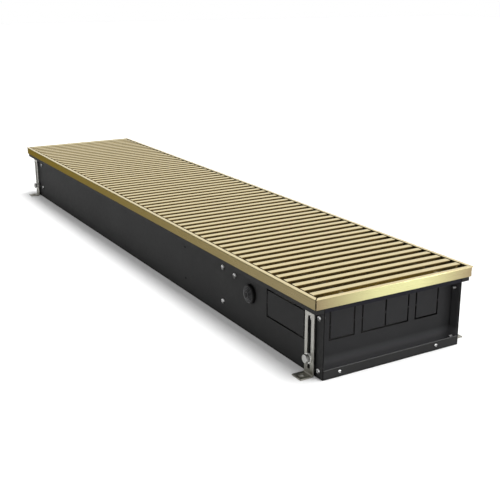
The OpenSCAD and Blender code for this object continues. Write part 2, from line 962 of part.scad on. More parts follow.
// Disc that nests in the scroll, with its side cut flat at the tongue
module fan_centre_support() {
    reach = scroll_r - support_play;
    color("#8c9094") translate([bay_mid, fan_y, fan_z]) along_x(support_t) difference() {
        intersection() {
            circle(reach, $fn = 96);
            translate([-reach, -reach]) square([reach + wheel_r - tongue_gap, 2 * reach]);
        }
        circle(rubber_groove_r);
        for (turn = [90, 180, 270])
            rotate(turn) translate([support_hole_at, 0]) circle(support_hole_r);
    }
}

// Curved blade, from its root outwards
module blade_outline() {
    root_r = wheel_r - blade_inset - blade_depth;
    half_turn = blade_t / 2 / wheel_r * 180 / PI;
    function place(share, turn) =
        let (r = root_r + share * blade_depth, a = share * share * blade_lead + turn)
            [r * cos(a), r * sin(a)];
    polygon(concat(
        [for (share = blade_shares) place(share, half_turn)],
        [for (i = [len(blade_shares) - 1 : -1 : 0]) place(blade_shares[i], -half_turn)]
    ));
}

// Fan wheel along +X from its end at X zero, both end discs with inward hubs
module fan_wheel() {
    rotate([0, 90, 0]) difference() {
        union() {
            linear_extrude(wheel_l)
                for (i = [0 : blade_n - 1]) rotate(i * 360 / blade_n) blade_outline();
            for (i = [1 : ring_n])
                translate([0, 0, i * wheel_l / (ring_n + 1) - ring_t / 2])
                    ring(wheel_r, wheel_r - ring_w, ring_t);
            for (z = [0, wheel_l - hub_web_t])
                translate([0, 0, z]) cylinder(r = wheel_r, h = hub_web_t);
            for (z = [0, wheel_l - hub_l])
                translate([0, 0, z]) cylinder(r = hub_r, h = hub_l);
        }
        for (z = [-over, wheel_l - hub_l - over])
            translate([0, 0, z]) cylinder(r = shaft_r + run_gap, h = hub_l + 2 * over);
    }
}

module fan_wheel_connection() {
    color("#3f4347") translate([wheel_near_x - wheel_l, fan_y, fan_z]) fan_wheel();
}

module fan_wheel_closed() {
    color("#3f4347") translate([wheel_far_x, fan_y, fan_z]) fan_wheel();
}

// Round bar on the fan's axis between two places along X
module shaft(from, to) {
    translate([from, fan_y, fan_z]) rotate([0, 90, 0]) cylinder(r = shaft_r, h = to - from);
}

module fan_stub_shafts() {
    color("#c9ccd0") {
        shaft(wheel_far_x + wheel_l - hub_l, wheel_near_x - wheel_l + hub_l);
        shaft(bush_xs[1] - bush_l / 2 - shaft_past, wheel_far_x + hub_l);
    }
}

module fan_bearings() {
    color("#b08d57")
        for (x = bush_xs)
            translate([x - bush_l / 2, fan_y, fan_z])
                rotate([0, 90, 0]) ring(bush_r, shaft_r + run_gap, bush_l);
}

module bearing_rubbers() {
    sheets = [support_t, bulkhead_t];
    color("#1b1b1b")
        for (i = [0, 1])
            translate([bush_xs[i], fan_y, fan_z]) rotate([0, 90, 0])
                grooved_ring(bush_r + seat, rubber_groove_r - seat, rubber_r, rubber_l, sheets[i]);
}

// Puts children on the motor's axis, their +Z along +X from the bulkhead's face
module on_motor() {
    translate([bulkhead_near + seat, fan_y, fan_z]) rotate([0, 90, 0]) children();
}

module motor_screw_places() {
    for (i = [0 : motor_screw_n - 1])
        rotate(i * 360 / motor_screw_n) translate([motor_screw_at, 0, motor_plate_t]) children();
}

module motor_mount_plate() {
    color("#7d8185") on_motor() difference() {
        cylinder(r = motor_plate_r, h = motor_plate_t);
        translate([0, 0, -over])
            cylinder(r = motor_boss_r + seat, h = motor_plate_t + 2 * over);
        motor_screw_places()
            translate([0, 0, -motor_plate_t - over])
                cylinder(r = lip_screw_r + screw_hole_play, h = motor_plate_t + 2 * over);
    }
}

module motor_housing() {
    back = -bulkhead_t - motor_boss_past;
    color("#2b2d30") on_motor() difference() {
        union() {
            translate([0, 0, motor_z]) cylinder(r = motor_r, h = motor_l);
            translate([0, 0, back]) cylinder(r = motor_boss_r, h = motor_z + motor_front_l - back);
        }
        translate([0, 0, motor_z + motor_front_l])
            cylinder(r = motor_r - motor_wall, h = motor_l + over);
        translate([0, 0, back - over])
            cylinder(r = shaft_r + run_gap, h = motor_z + motor_front_l - back + 2 * over);
    }
}

module motor_end_cap() {
    bore = shaft_r + run_gap;
    slope = motor_cap_t / 4;
    color("#3a3d41") on_motor() translate([0, 0, motor_z + motor_l + seat]) difference() {
        rotate_extrude()
            polygon([
                [bore, 0],
                [motor_r, 0],
                [motor_r, slope],
                [motor_r - slope, 2 * slope],
                [motor_cap_r + slope, 2 * slope],
                [motor_cap_r, motor_cap_t],
                [0, motor_cap_t],
                [0, 3 * slope],
                [bore, 3 * slope]
            ]);
        for (i = [0 : motor_vent_n - 1])
            rotate(i * 360 / motor_vent_n)
                translate([motor_vent_at, -motor_vent_w / 2, -over])
                    cube([motor_vent_l, motor_vent_w, motor_cap_t + 2 * over]);
    }
}

module motor_stator() {
    color("#8a5a34") on_motor() translate([0, 0, stator_z])
        ring(stator_r, stator_r - stator_t, stator_l);
}

module motor_rotor() {
    color("#6d7074") on_motor() translate([0, 0, stator_z])
        ring(stator_r - stator_t - rotor_gap, shaft_r + run_gap, stator_l);
}

module motor_shaft() {
    color("#c9ccd0")
        shaft(wheel_near_x - hub_l, bulkhead_near + motor_z + motor_l + motor_cap_t / 2);
}

module motor_screws() {
    color("#c8c8c8") on_motor() motor_screw_places()
        translate([0, 0, seat]) pan_screw(lip_screw_r, motor_plate_t + seat, lip_pan_r, lip_pan_h);
}

// Square outline with round corners, centred on the terminal box
module box_outline(l, w, corner) {
    translate([corner - l / 2, -w / 2]) square([l - 2 * corner, w]);
    translate([-l / 2, corner - w / 2]) square([l, w - 2 * corner]);
    for (x = [corner - l / 2, l / 2 - corner], y = [corner - w / 2, w / 2 - corner])
        translate([x, y]) circle(corner);
}

module at_box(z) {
    translate([box_x, box_y, z]) children();
}

// Places of the posts under the control board's corners
module board_places(z) {
    at_box(z)
        for (x = [-1, 1], y = [-1, 1])
            translate([
                x * (box_in_l / 2 - board_edge - board_post_r),
                y * (box_in_w / 2 - board_edge - board_post_r),
                0
            ]) children();
}

module terminal_box() {
    color("#202124") {
        at_box(box_z) difference() {
            linear_extrude(box_h) box_outline(box_l, box_w, box_corner);
            translate([0, 0, box_wall])
                linear_extrude(box_h) box_outline(box_in_l, box_in_w, box_corner - box_wall);
            translate([half_l - gland_s - box_x, -box_w / 2 - over, box_h - gland_flange_r])
                rotate([-90, 0, 0]) cylinder(r = gland_bore_r + box_wall, h = box_wall + 2 * over);
        }
        board_places(box_z + box_wall / 2)
            cylinder(r = board_post_r, h = board_post_h + box_wall / 2);
    }
}

module terminal_lid() {
    rim = 2 * (box_wall + seat);
    color("#2a2b2e") at_box(box_z + box_h + seat) {
        linear_extrude(lid_t) box_outline(box_l, box_w, box_corner);
        translate([0, 0, -lid_rim_h]) linear_extrude(lid_rim_h + lid_t / 2) difference() {
            box_outline(box_l - rim, box_w - rim, box_corner - box_wall);
            box_outline(box_l - rim - 2 * lid_rim_t, box_w - rim - 2 * lid_rim_t,
                box_corner - box_wall);
        }
    }
}

// Board with its relay and its capacitor soldered on
module control_board() {
    l = box_in_l - 2 * board_edge;
    w = box_in_w - 2 * board_edge;
    color("#2f5a3a") at_box(board_top - board_t) {
        translate([-l / 2, -w / 2, 0]) cube([l, w, board_t]);
        translate([board_edge - l / 2, w / 2 - board_edge - relay_w, board_t / 2])
            cube([relay_l, relay_w, relay_h + board_t / 2]);
        translate([
            l / 2 - board_edge - capacitor_r,
            w / 2 - board_edge - capacitor_r,
            board_t / 2
        ]) cylinder(r = capacitor_r, h = capacitor_h + board_t / 2);
    }
}

module terminal_block() {
    back = 2 * board_edge - box_in_w / 2;
    step = block_l / block_way_n;
    color("#d9d6cc") at_box(board_top + seat) difference() {
        translate([-block_l / 2, back, 0]) cube([block_l, block_w, block_h]);
        for (i = [0 : block_way_n - 1])
            translate([(i + 0.5) * step - block_l / 2, back + block_w / 2, block_h - block_way_d])
                cylinder(r = block_way_r, h = block_way_d + over);
    }
}

// Stepped rubber cone that clips into the front wall
module cable_gland() {
    step_h = gland_cone_h / gland_step_n;
    step_r = (gland_cone_r - gland_tip_r) / gland_step_n;
    behind = -sheet_t - seat;
    color("#101010") on_front_wall(half_l - gland_s, gland_z) rotate_extrude()
        polygon(concat(
            [
                [gland_bore_r, behind - gland_inner_t],
                [gland_inner_r, behind - gland_inner_t],
                [gland_inner_r, behind],
                [gland_hole_r - seat, behind],
                [gland_hole_r - seat, seat],
                [gland_flange_r, seat],
                [gland_flange_r, gland_flange_t]
            ],
            [
                for (i = [0 : gland_step_n - 1], corner = [0, 1, 2])
                    let (z = gland_flange_t + i * step_h, r = gland_cone_r - i * step_r)
                        corner == 0 ? [r - gland_groove, z]
                        : corner == 1 ? [r, z + gland_groove]
                        : [r - gland_groove, z + step_h - seat]
            ],
            [[gland_bore_r, gland_flange_t + gland_cone_h - seat]]
        ));
}

module earth_bracket() {
    color("#b9bcbf")
        translate([half_l - earth_s - earth_l / 2, seat - inner_w, earth_z - earth_h / 2])
            difference() {
                union() {
                    cube([earth_l, earth_t, earth_h]);
                    translate([0, 0, earth_h - earth_t]) cube([earth_l, earth_w, earth_t]);
                }
                translate([earth_l / 2, earth_t + over, earth_h / 2]) rotate([90, 0, 0])
                    cylinder(r = screw_r + screw_hole_play, h = earth_t + 2 * over);
                translate([earth_l / 2, earth_w / 2, earth_h - earth_t - over])
                    cylinder(r = earth_bore_r, h = earth_t + 2 * over);
            }
}

module earth_screw() {
    color("#d4d4d4") on_front_wall(half_l - earth_s, earth_z)
        translate([0, 0, seat]) pan_screw(screw_r, end_screw_l, pan_r, pan_h);
}

// Upright and sole of a foot bracket as one folded strip, its back on the Y axis
module leg_outline() {
    outer = leg_bend_r + leg_t;
    translate([0, outer]) square([leg_t, leg_h - outer]);
    translate([outer, 0]) square([sole_l - outer, leg_t]);
    translate([outer, outer]) intersection() {
        difference() {
            circle(outer);
            circle(leg_bend_r);
        }
        translate([-outer, -outer]) square(outer);
    }
}

// Rounded slot in X and Z, cut along Y
module upright_slot(width, low, high, depth) {
    r = width / 2;
    rotate([-90, 0, 0]) {
        for (z = [low + r, high - r])
            translate([0, -z, 0]) cylinder(r = r, h = depth);
        translate([-r, r - high, 0]) cube([width, high - low - width, depth]);
    }
}

// Foot bracket at the front wall's connection end
module foot_bracket() {
    back_y = -half_w - leg_gap;
    sole_y = -half_w - sole_hole_y;
    translate([half_l - leg_s, 0, 0]) difference() {
        union() {
            translate([0, back_y, 0]) rotate([0, 0, 180]) along_x(leg_w) leg_outline();
            translate([0, sole_y, leg_t / 2])
                cylinder(r = sole_hole_r + collar_t, h = leg_t / 2 + collar_h);
        }
        translate([0, back_y - leg_t - over, 0])
            upright_slot(slot_w, slot_bottom, slot_top, leg_t + 2 * over);
        translate([-square_hole_w / 2, back_y - leg_t - over, square_hole_z])
            cube([square_hole_w, leg_t + 2 * over, square_hole_h]);
        translate([0, sole_y, -over])
            cylinder(r = sole_hole_r, h = leg_t + collar_h + 2 * over);
    }
}

module leg_front_connection() {
    color("#9d9d97") foot_bracket();
}

module leg_front_closed() {
    color("#9d9d97") mirror([1, 0, 0]) foot_bracket();
}

module leg_rear_connection() {
    color("#9d9d97") mirror([0, 1, 0]) foot_bracket();
}

module leg_rear_closed() {
    color("#9d9d97") mirror([0, 1, 0]) mirror([1, 0, 0]) foot_bracket();
}

// Puts children on the clamp's axis at all four feet
module on_clamps() {
    four_corners() on_front_wall(half_l - leg_s, clamp_z) children();
}

module leg_clamp_screws() {
    color("#c4c4c2") on_clamps() {
        translate([0, 0, -clamp_in]) cylinder(r = clamp_r, h = clamp_in + clamp_head_out + seat);
        translate([0, 0, clamp_head_out]) cylinder(r = clamp_head_r, h = clamp_head_h);
    }
}

module leg_clamp_washers() {
    color("#d6d6d4") on_clamps() translate([0, 0, leg_gap + leg_t + seat])
        ring(clamp_washer_r, clamp_r + screw_hole_play, clamp_washer_t);
}

module leg_split_washers() {
    color("#8f8f8d") on_clamps() translate([0, 0, split_washer_z]) difference() {
        ring(split_washer_r, clamp_r + screw_hole_play, split_washer_t);
        translate([0, -split_washer_gap / 2, -over])
            cube([split_washer_r + over, split_washer_gap, split_washer_t + 2 * over]);
    }
}

// Rivet nut whose thick flange holds the foot bracket off the wall
module leg_rivet_nuts() {
    color("#bdbdb8") on_clamps() difference() {
        union() {
            translate([0, 0, seat]) cylinder(r = clamp_head_r, h = leg_gap - 2 * seat);
            translate([0, 0, leg_gap - seat - rivet_nut_l])
                cylinder(r = rivet_nut_r, h = rivet_nut_l);
        }
        translate([0, 0, leg_gap - rivet_nut_l - over])
            cylinder(r = clamp_r + run_gap, h = rivet_nut_l + 2 * over);
    }
}

module leg_guide_screws() {
    color("#d4d4d4") four_corners() on_front_wall(half_l - guide_s, guide_z)
        translate([0, 0, seat]) pan_screw(screw_r, guide_l, guide_head_r, pan_low_h);
}

module end_plate_screws() {
    color("#d4d4d4") four_corners()
        for (z = end_screw_zs)
            on_front_wall(half_l - end_screw_s, z)
                translate([0, 0, seat]) pan_screw(screw_r, end_screw_l, end_pan_r, end_pan_h);
}

module end_lip_screws() {
    color("#d4d4d4") lip_places()
        translate([0, 0, seat]) pan_screw(lip_screw_r, lip_screw_l, lip_pan_r, lip_pan_h);
}

module end_lip_nuts() {
    color("#b9bcbf") lip_places()
        translate([0, 0, -2 * (sheet_t + seat) - lip_nut_t])
            ring(lip_nut_r, lip_screw_r + run_gap, lip_nut_t);
}

module bulkhead_screws() {
    color("#d4d4d4") both_walls()
        for (s = [bulkhead_s_connection, trough_l - bulkhead_s_closed], z = bulkhead_screw_zs)
            on_front_wall(half_l - s, z)
                translate([0, 0, seat]) pan_screw(screw_r, bulkhead_screw_l, pan_r, pan_h);
}

trough_floor();
trough_wall_front();
trough_wall_rear();
end_plate_connection();
end_plate_closed();
frame_rail_front();
frame_rail_rear();
frame_rail_connection();
frame_rail_closed();
frame_corner_keys();
grille_rest_strips();
grille_slats();
grille_link_springs();
grille_spacers();
grille_end_caps();
exchanger_fins();
exchanger_tubes();
exchanger_bends();
exchanger_fittings();
tube_grommets();
bleed_valve_body();
bleed_screw();
bulkhead_connection();
bulkhead_closed();
fan_scroll();
fan_tongue();
fan_centre_support();
fan_wheel_connection();
fan_wheel_closed();
fan_stub_shafts();
fan_bearings();
bearing_rubbers();
motor_mount_plate();
motor_housing();
motor_end_cap();
motor_stator();
motor_rotor();
motor_shaft();
motor_screws();
terminal_box();
terminal_lid();
terminal_block();
control_board();
cable_gland();
earth_bracket();
earth_screw();
leg_front_connection();
leg_front_closed();
leg_rear_connection();
leg_rear_closed();
leg_clamp_screws();
leg_split_washers();
leg_clamp_washers();
leg_rivet_nuts();
leg_guide_screws();
end_plate_screws();
end_lip_screws();
end_lip_nuts();
bulkhead_screws();
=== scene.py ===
"""Finishes of a trench convector heater: sheet edges, rubber, hardware and materials on the CAD frame."""

import json
from math import pi, radians

import bmesh
import bpy
from bpy.props import FloatProperty, FloatVectorProperty, IntProperty, PointerProperty
from mathutils import Matrix, Vector


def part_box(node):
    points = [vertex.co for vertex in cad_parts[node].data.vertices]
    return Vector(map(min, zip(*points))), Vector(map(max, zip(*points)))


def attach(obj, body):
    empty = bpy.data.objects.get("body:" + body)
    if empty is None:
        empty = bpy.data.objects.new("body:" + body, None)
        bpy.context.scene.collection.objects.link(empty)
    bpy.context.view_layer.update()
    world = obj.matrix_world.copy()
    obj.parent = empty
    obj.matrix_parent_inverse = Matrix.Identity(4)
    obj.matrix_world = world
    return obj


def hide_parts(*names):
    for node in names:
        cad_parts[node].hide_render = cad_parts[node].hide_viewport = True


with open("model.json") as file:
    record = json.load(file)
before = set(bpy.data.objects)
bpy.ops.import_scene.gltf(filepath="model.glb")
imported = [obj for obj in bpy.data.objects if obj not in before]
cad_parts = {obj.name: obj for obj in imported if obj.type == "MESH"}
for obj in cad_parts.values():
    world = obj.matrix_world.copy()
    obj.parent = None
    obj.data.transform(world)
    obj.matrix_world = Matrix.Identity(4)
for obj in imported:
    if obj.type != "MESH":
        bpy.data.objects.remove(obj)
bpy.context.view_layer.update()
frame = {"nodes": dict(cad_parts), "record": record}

bl_info = {
    "name": "Trench Convector Heater",
    "version": (1, 0, 0),
    "blender": (4, 5, 0),
    "location": "View3D > Sidebar > Heater",
    "description": "Dresses the frame of a trench convector heater",
    "category": "Object",
}

BODY_OF = {n: body for body, nodes in frame["record"]["behaviour"]["bodies"].items() for n in nodes}
MM = 0.001

# Sizes in mm that the frame's boxes don't give: the sheet steel, and the gap between the floor and a wall
SHEET = 1.2
WALL_GAP = 0.1

# Half the depth in mm of a cut through the sheet whose faces take a near-black painted shade
CUT_SHADE_HALF = 0.58

# Edges that turn by more degrees than FOLD are rounded. After that, only turns past CREASE look sharp
FOLD = 30
CREASE = 50

# Points of one mesh that are closer than this are one point
MERGE = 0.001 * MM

# A noise keeps mostly between these values, so its patterns are stretched over them
NOISE_REACH = {"From Min": 0.3, "From Max": 0.7}


def linear(code):
    """Turns an sRGB hex colour into linear red, green, blue and alpha."""
    parts = [int(code[i:i + 2], 16) / 255 for i in (1, 3, 5)]
    return [p / 12.92 if p <= 0.04045 else ((p + 0.055) / 1.055) ** 2.4 for p in parts] + [1.0]


def colour(name, value, description):
    """Setting of a colour, its default an sRGB hex colour."""
    return FloatVectorProperty(name=name, description=description, subtype="COLOR", size=4,
                               min=0, max=1, default=linear(value))


def length(name, value, description):
    """Setting of a length, its default in mm."""
    return FloatProperty(name=name, description=description, unit="LENGTH", min=0, default=value * MM)


def strength(name, value, description, unit="NONE"):
    """Setting of a light's strength."""
    return FloatProperty(name=name, description=description, unit=unit, min=0, default=value)


class SheetSettings(bpy.types.PropertyGroup):
    enamel: colour("Trough enamel", "#2f2f2f", "Colour of the trough's baked enamel")
    plate: colour("End plate enamel", "#313132", "Colour of the end plates' baked enamel")
    edge: length("Sheet edge", 0.3, "Radius that stamping leaves on the edges of the sheet")
    peel: length("Orange peel", 2.2, "Distance between the ripples of the enamel")


class GrilleSettings(bpy.types.PropertyGroup):
    rim: colour("Rim", "#efdfae", "Colour of the frame's brushed rim")
    # Painted shade: the long skirts are darker than the rim, which is the same metal
    skirt: colour("Long skirts", "#8c8164", "Colour of the satin skirts along the sides")
    # Painted highlight: the end skirts are lighter at mid length than at their tips
    end: colour("End skirts", "#c6c38f", "Colour of the end skirts where they are burnished, at mid length")
    dim: colour("End skirt tips", "#8c7d5f", "Colour of the end skirts at both tips")
    slat: colour("Slats", "#ecdcaa", "Colour of the slats' tops")
    # Painted shade: the slats' sides are darker than their tops
    side: colour("Slat sides", "#bda773", "Colour of the slats' sides, where their oxide is darker")
    edge: length("Rail edge", 0.25, "Radius on the edges of the frame's rails")
    line: length("Extrusion lines", 0.9, "Distance between the fine lines that the die leaves")


class FootSettings(bpy.types.PropertyGroup):
    zinc: colour("Foot zinc", "#a3a29c", "Colour of the feet's zinc plating")
    warm: colour("Warm zinc", "#97958b", "Tint of the zinc plating near the sole")
    edge: length("Foot edge", 0.35, "Radius on the edges of the feet")
    teeth: IntProperty(name="Washer teeth", description="Teeth round each clamp washer", default=24,
                       min=8, max=48)
    tooth: length("Tooth depth", 0.55, "Depth of the teeth of the clamp washers")


class StageSettings(bpy.types.PropertyGroup):
    floor: colour("Floor", "#eeeeee", "Colour of the floor")
    key: strength("Key light", 3.1, "Strength of the key light")
    side: strength("Side light", 4.5, "Power of the lamp past the connection end", "POWER")
    sky: strength("Sky", 0.55, "Strength of the soft light from all round")
    ceiling: strength("Ceiling", 0.2, "Strength that the ceiling adds where metal mirrors it")


def wire(tree, made, inputs):
    """Gives a node's inputs their values and their links."""
    for name, value in inputs.items():
        if isinstance(value, bpy.types.NodeSocket):
            tree.links.new(value, made.inputs[name])
        else:
            made.inputs[name].default_value = value


def node(tree, kind, inputs=None, **settings):
    """Adds a node with its settings, values and links. A colour Mix has inputs 0, 6 and 7 and output 2."""
    made = tree.nodes.new(kind)
    for name, value in settings.items():
        setattr(made, name, value)
    wire(tree, made, inputs or {})
    return made


def finish(name, **surface):
    """Starts a material and gives it with its node tree, its shader and Object coordinates."""
    made = bpy.data.materials.new(name)
    made.use_nodes = True
    shader = made.node_tree.nodes["Principled BSDF"]
    wire(made.node_tree, shader, {key.replace("_", " "): value for key, value in surface.items()})
    place = node(made.node_tree, "ShaderNodeTexCoord").outputs["Object"]
    return made, made.node_tree, shader, place


def per(size):
    """Scale of a pattern that repeats once in size, in mm."""
    return 1 / (size * MM)


def shade(rgb, share):
    """The same colour made darker or lighter by a share."""
    return [min(1, c * share) for c in rgb[:3]] + [1.0]


def mottle(tree, noise, first, second, most=1.0):
    """Goes from one colour to another as a noise rises, or only the share most of the way."""
    share = node(tree, "ShaderNodeMapRange", {"Value": noise, **NOISE_REACH, "To Min": 0.0, "To Max": most})
    mixed = node(tree, "ShaderNodeMix", {0: share.outputs[0], 6: first, 7: second}, data_type="RGBA")
    return mixed.outputs[2]


def facing_share(tree, axis, low, high):
    """Goes from 0 to 1 as a face's outward direction goes from low to high along an axis."""
    normal = node(tree, "ShaderNodeNewGeometry").outputs["Normal"]
    out = node(tree, "ShaderNodeSeparateXYZ", {"Vector": normal}).outputs[axis]
    return node(tree, "ShaderNodeMapRange", {"Value": out, "From Min": low, "From Max": high}).outputs[0]


def skin(tree, shader, tone, pattern, smooth, rough, height, depth, share):
    """Gives a shader its colour, its roughness as a pattern rises, and a share of a relief, depth in mm."""
    gloss = node(tree, "ShaderNodeMapRange",
                 {"Value": pattern, **NOISE_REACH, "To Min": smooth, "To Max": rough})
    bump = node(tree, "ShaderNodeBump", {"Strength": share, "Distance": depth * MM, "Height": height})
    wire(tree, shader, {"Base Color": tone, "Roughness": gloss.outputs[0], "Normal": bump.outputs[0]})


def overlay(made, mask, tone):
    """Lays another tone over a material's colour where a mask rises."""
    tree = made.node_tree
    shader = tree.nodes["Principled BSDF"]
    under = shader.inputs["Base Color"].links[0].from_socket
    mixed = node(tree, "ShaderNodeMix", {0: mask, 6: under, 7: tone}, data_type="RGBA")
    wire(tree, shader, {"Base Color": mixed.outputs[2]})


def enamel(name, rgb, peel, roughness=0.6):
    """Baked polyester enamel on sheet steel: near-matt, faintly peeled, with painted shade black in its
    joints.
    """
    made, tree, shader, place = finish(name, Metallic=0.0, Specular_IOR_Level=0.06)
    patch, grit, shade_reach = 70, 9, 5
    ripple = node(tree, "ShaderNodeTexNoise", {"Vector": place, "Scale": per(peel), "Detail": 2.0}).outputs[0]
    cloud = node(tree, "ShaderNodeTexNoise", {"Vector": place, "Scale": per(patch), "Detail": 3.0})
    dust = node(tree, "ShaderNodeTexNoise",
                {"Vector": place, "Scale": per(grit), "Detail": 6.0, "Roughness": 0.7}).outputs[0]
    tint = mottle(tree, cloud.outputs[0], shade(rgb, 0.92), shade(rgb, 1.08))
    speck = mottle(tree, dust, tint, shade(rgb, 1.6), 0.12)
    # Painted shade: where less than 0.42 of the air near a point is open, the colour goes towards black
    air = node(tree, "ShaderNodeAmbientOcclusion", {"Distance": shade_reach * MM}, samples=8).outputs[1]
    painted_shade = node(tree, "ShaderNodeMapRange", {"Value": air, "From Min": 0.42, "From Max": 0.78})
    dark = node(tree, "ShaderNodeMix", {0: painted_shade.outputs[0], 6: shade(rgb, 0.1), 7: speck}, data_type="RGBA")
    skin(tree, shader, dark.outputs[2], dust, roughness - 0.05, roughness + 0.07, ripple, 0.05, 0.35)
    return made


def lined(made, axis, middle, half, tone):
    """Turns a material to another tone within half of a distance from 0 along an axis, all in mm."""
    tree = made.node_tree
    place = node(tree, "ShaderNodeTexCoord").outputs["Object"]
    along = node(tree, "ShaderNodeSeparateXYZ", {"Vector": place}).outputs[axis]
    depth = node(tree, "ShaderNodeMath", {0: along}, operation="ABSOLUTE").outputs[0]
    line = node(tree, "ShaderNodeMath", {0: depth, 1: middle * MM, 2: half * MM}, operation="COMPARE")
    overlay(made, line.outputs[0], tone)


def banded(made, low, high, tone):
    """Turns a material to another tone as its height goes from low to high, in mm."""
    tree = made.node_tree
    place = node(tree, "ShaderNodeTexCoord").outputs["Object"]
    height = node(tree, "ShaderNodeSeparateXYZ", {"Vector": place}).outputs[2]
    band = node(tree, "ShaderNodeMapRange", {"Value": height, "From Min": low * MM, "From Max": high * MM})
    overlay(made, band.outputs[0], tone)


def anodised(name, rgb, along, line, side, reach, edge=None, tips=None):
    """Brass-anodised extruded aluminium: satin metal with fine die lines, and painted shade or highlight on
    the faces that stand.
    """
    made, tree, shader, place = finish(name, Metallic=1.0, Anisotropic=0.6, Anisotropic_Rotation=0.25)
    patch, stretch = 45, 0.012
    run = [stretch if axis == along else 1.0 for axis in range(3)]
    drawn = node(tree, "ShaderNodeMapping", {"Vector": place, "Scale": run}).outputs[0]
    lines = node(tree, "ShaderNodeTexNoise",
                 {"Vector": drawn, "Scale": per(line), "Detail": 4.0, "Roughness": 0.65}).outputs[0]
    cloud = node(tree, "ShaderNodeTexNoise", {"Vector": place, "Scale": per(patch), "Detail": 2.0})
    streak = mottle(tree, lines, shade(rgb, 0.93), shade(rgb, 1.03))
    tint = mottle(tree, cloud.outputs[0], streak, shade(rgb, 0.9), 0.35)
    # Painted shade: faces turned up less than reach take the side tone instead of the top's
    flat = facing_share(tree, 2, reach, reach + 0.2)
    # Painted highlight: the standing faces are lighter within 36 mm of the middle, fading to the dimmer tip
    # tone by 130 mm
    if tips:
        highlight_half, tip_half = 36, 130
        across = node(tree, "ShaderNodeSeparateXYZ", {"Vector": place}).outputs[1]
        far = node(tree, "ShaderNodeMath", {0: across}, operation="ABSOLUTE").outputs[0]
        highlight_fade = node(tree, "ShaderNodeMapRange",
                   {"Value": far, "From Min": highlight_half * MM, "From Max": tip_half * MM}).outputs[0]
        side = node(tree, "ShaderNodeMix", {0: highlight_fade, 6: side, 7: tips}, data_type="RGBA").outputs[2]
    if edge:
        glance = node(tree, "ShaderNodeMix", {0: flat, 6: edge, 7: linear("#ffffff")}, data_type="RGBA")
        wire(tree, shader, {"Specular Tint": glance.outputs[2]})
    tone = node(tree, "ShaderNodeMix", {0: flat, 6: side, 7: tint}, data_type="RGBA").outputs[2]
    grain = node(tree, "ShaderNodeCombineXYZ", {axis: float(axis == along) for axis in range(3)})
    wire(tree, shader, {"Tangent": grain.outputs[0]})
    skin(tree, shader, tone, lines, 0.25, 0.35, lines, 0.01, 0.3)
    return made


def plated(name, rgb, second, grain, roughness=0.36, metal=1.0):
    """Zinc plating, or bare metal as dull: soft and clouded, some of it flecked with a second tint."""
    made, tree, shader, place = finish(name, Metallic=metal)
    speck = 0.8
    cloud = node(tree, "ShaderNodeTexNoise",
                 {"Vector": place, "Scale": per(grain), "Detail": 4.0, "Distortion": 0.4})
    fleck = node(tree, "ShaderNodeTexNoise", {"Vector": place, "Scale": per(speck), "Detail": 3.0}).outputs[0]
    tone = mottle(tree, cloud.outputs[0], shade(rgb, 0.93), shade(rgb, 1.06))
    if second:
        tone = mottle(tree, fleck, tone, second, 0.5)
    skin(tree, shader, tone, fleck, roughness - 0.08, roughness + 0.1, fleck, 0.03, 0.3)
    return made


def moulded(name, rgb, grain, roughness=0.55, depth=0.05, lift=1.35):
    """Moulded rubber or plastic: a dull skin with the fine spark-eroded grain of its mould."""
    made, tree, shader, place = finish(name, Metallic=0.0, IOR=1.5)
    patch = 14
    pits = node(tree, "ShaderNodeTexVoronoi", {"Vector": place, "Scale": per(grain)}, feature="SMOOTH_F1")
    cloud = node(tree, "ShaderNodeTexNoise", {"Vector": place, "Scale": per(patch), "Detail": 4.0}).outputs[0]
    tint = mottle(tree, cloud, shade(rgb, 0.9), shade(rgb, lift))
    skin(tree, shader, tint, cloud, roughness - 0.08, roughness + 0.08, pits.outputs[0], depth, 0.4)
    return made


def ringed(name, rgb, crest_highlight, brim_light, middle, outer, pitch):
    """Moulded black rubber, with painted highlights on its ring tops and painted light on its brim's front.
    """
    made = moulded(name, rgb, 1.0, 0.45)
    tree = made.node_tree
    wire(tree, tree.nodes["Principled BSDF"], {"Specular IOR Level": 0.12})
    top_half, last_ring, brim_inside = 0.4, outer + 0.6, outer + 1
    place = node(tree, "ShaderNodeTexCoord").outputs["Object"]
    offset = node(tree, "ShaderNodeVectorMath", {0: place, 1: middle}, operation="SUBTRACT").outputs[0]
    across = node(tree, "ShaderNodeVectorMath", {0: offset, 1: (1, 0, 1)}, operation="MULTIPLY").outputs[0]
    reach = node(tree, "ShaderNodeVectorMath", {0: across}, operation="LENGTH").outputs[1]
    # Painted highlight: a lighter line along the top of each ring, inside the last ring
    turn = node(tree, "ShaderNodeMath", {0: reach, 1: pitch * MM}, operation="MODULO").outputs[0]
    top = node(tree, "ShaderNodeMath", {0: turn, 1: outer % pitch * MM, 2: top_half * MM},
               operation="COMPARE")
    inside = node(tree, "ShaderNodeMath", {0: reach, 1: last_ring * MM}, operation="LESS_THAN")
    ring = node(tree, "ShaderNodeMath", {0: top.outputs[0], 1: inside.outputs[0]}, operation="MULTIPLY")
    # Painted light: the brim's faces that look forward, outside the rings, turn lighter
    outside = node(tree, "ShaderNodeMath", {0: reach, 1: brim_inside * MM}, operation="GREATER_THAN")
    front = facing_share(tree, 1, -0.7, -0.9)
    lit_brim = node(tree, "ShaderNodeMath", {0: outside.outputs[0], 1: front}, operation="MULTIPLY")
    overlay(made, lit_brim.outputs[0], brim_light)
    overlay(made, ring.outputs[0], crest_highlight)
    return made


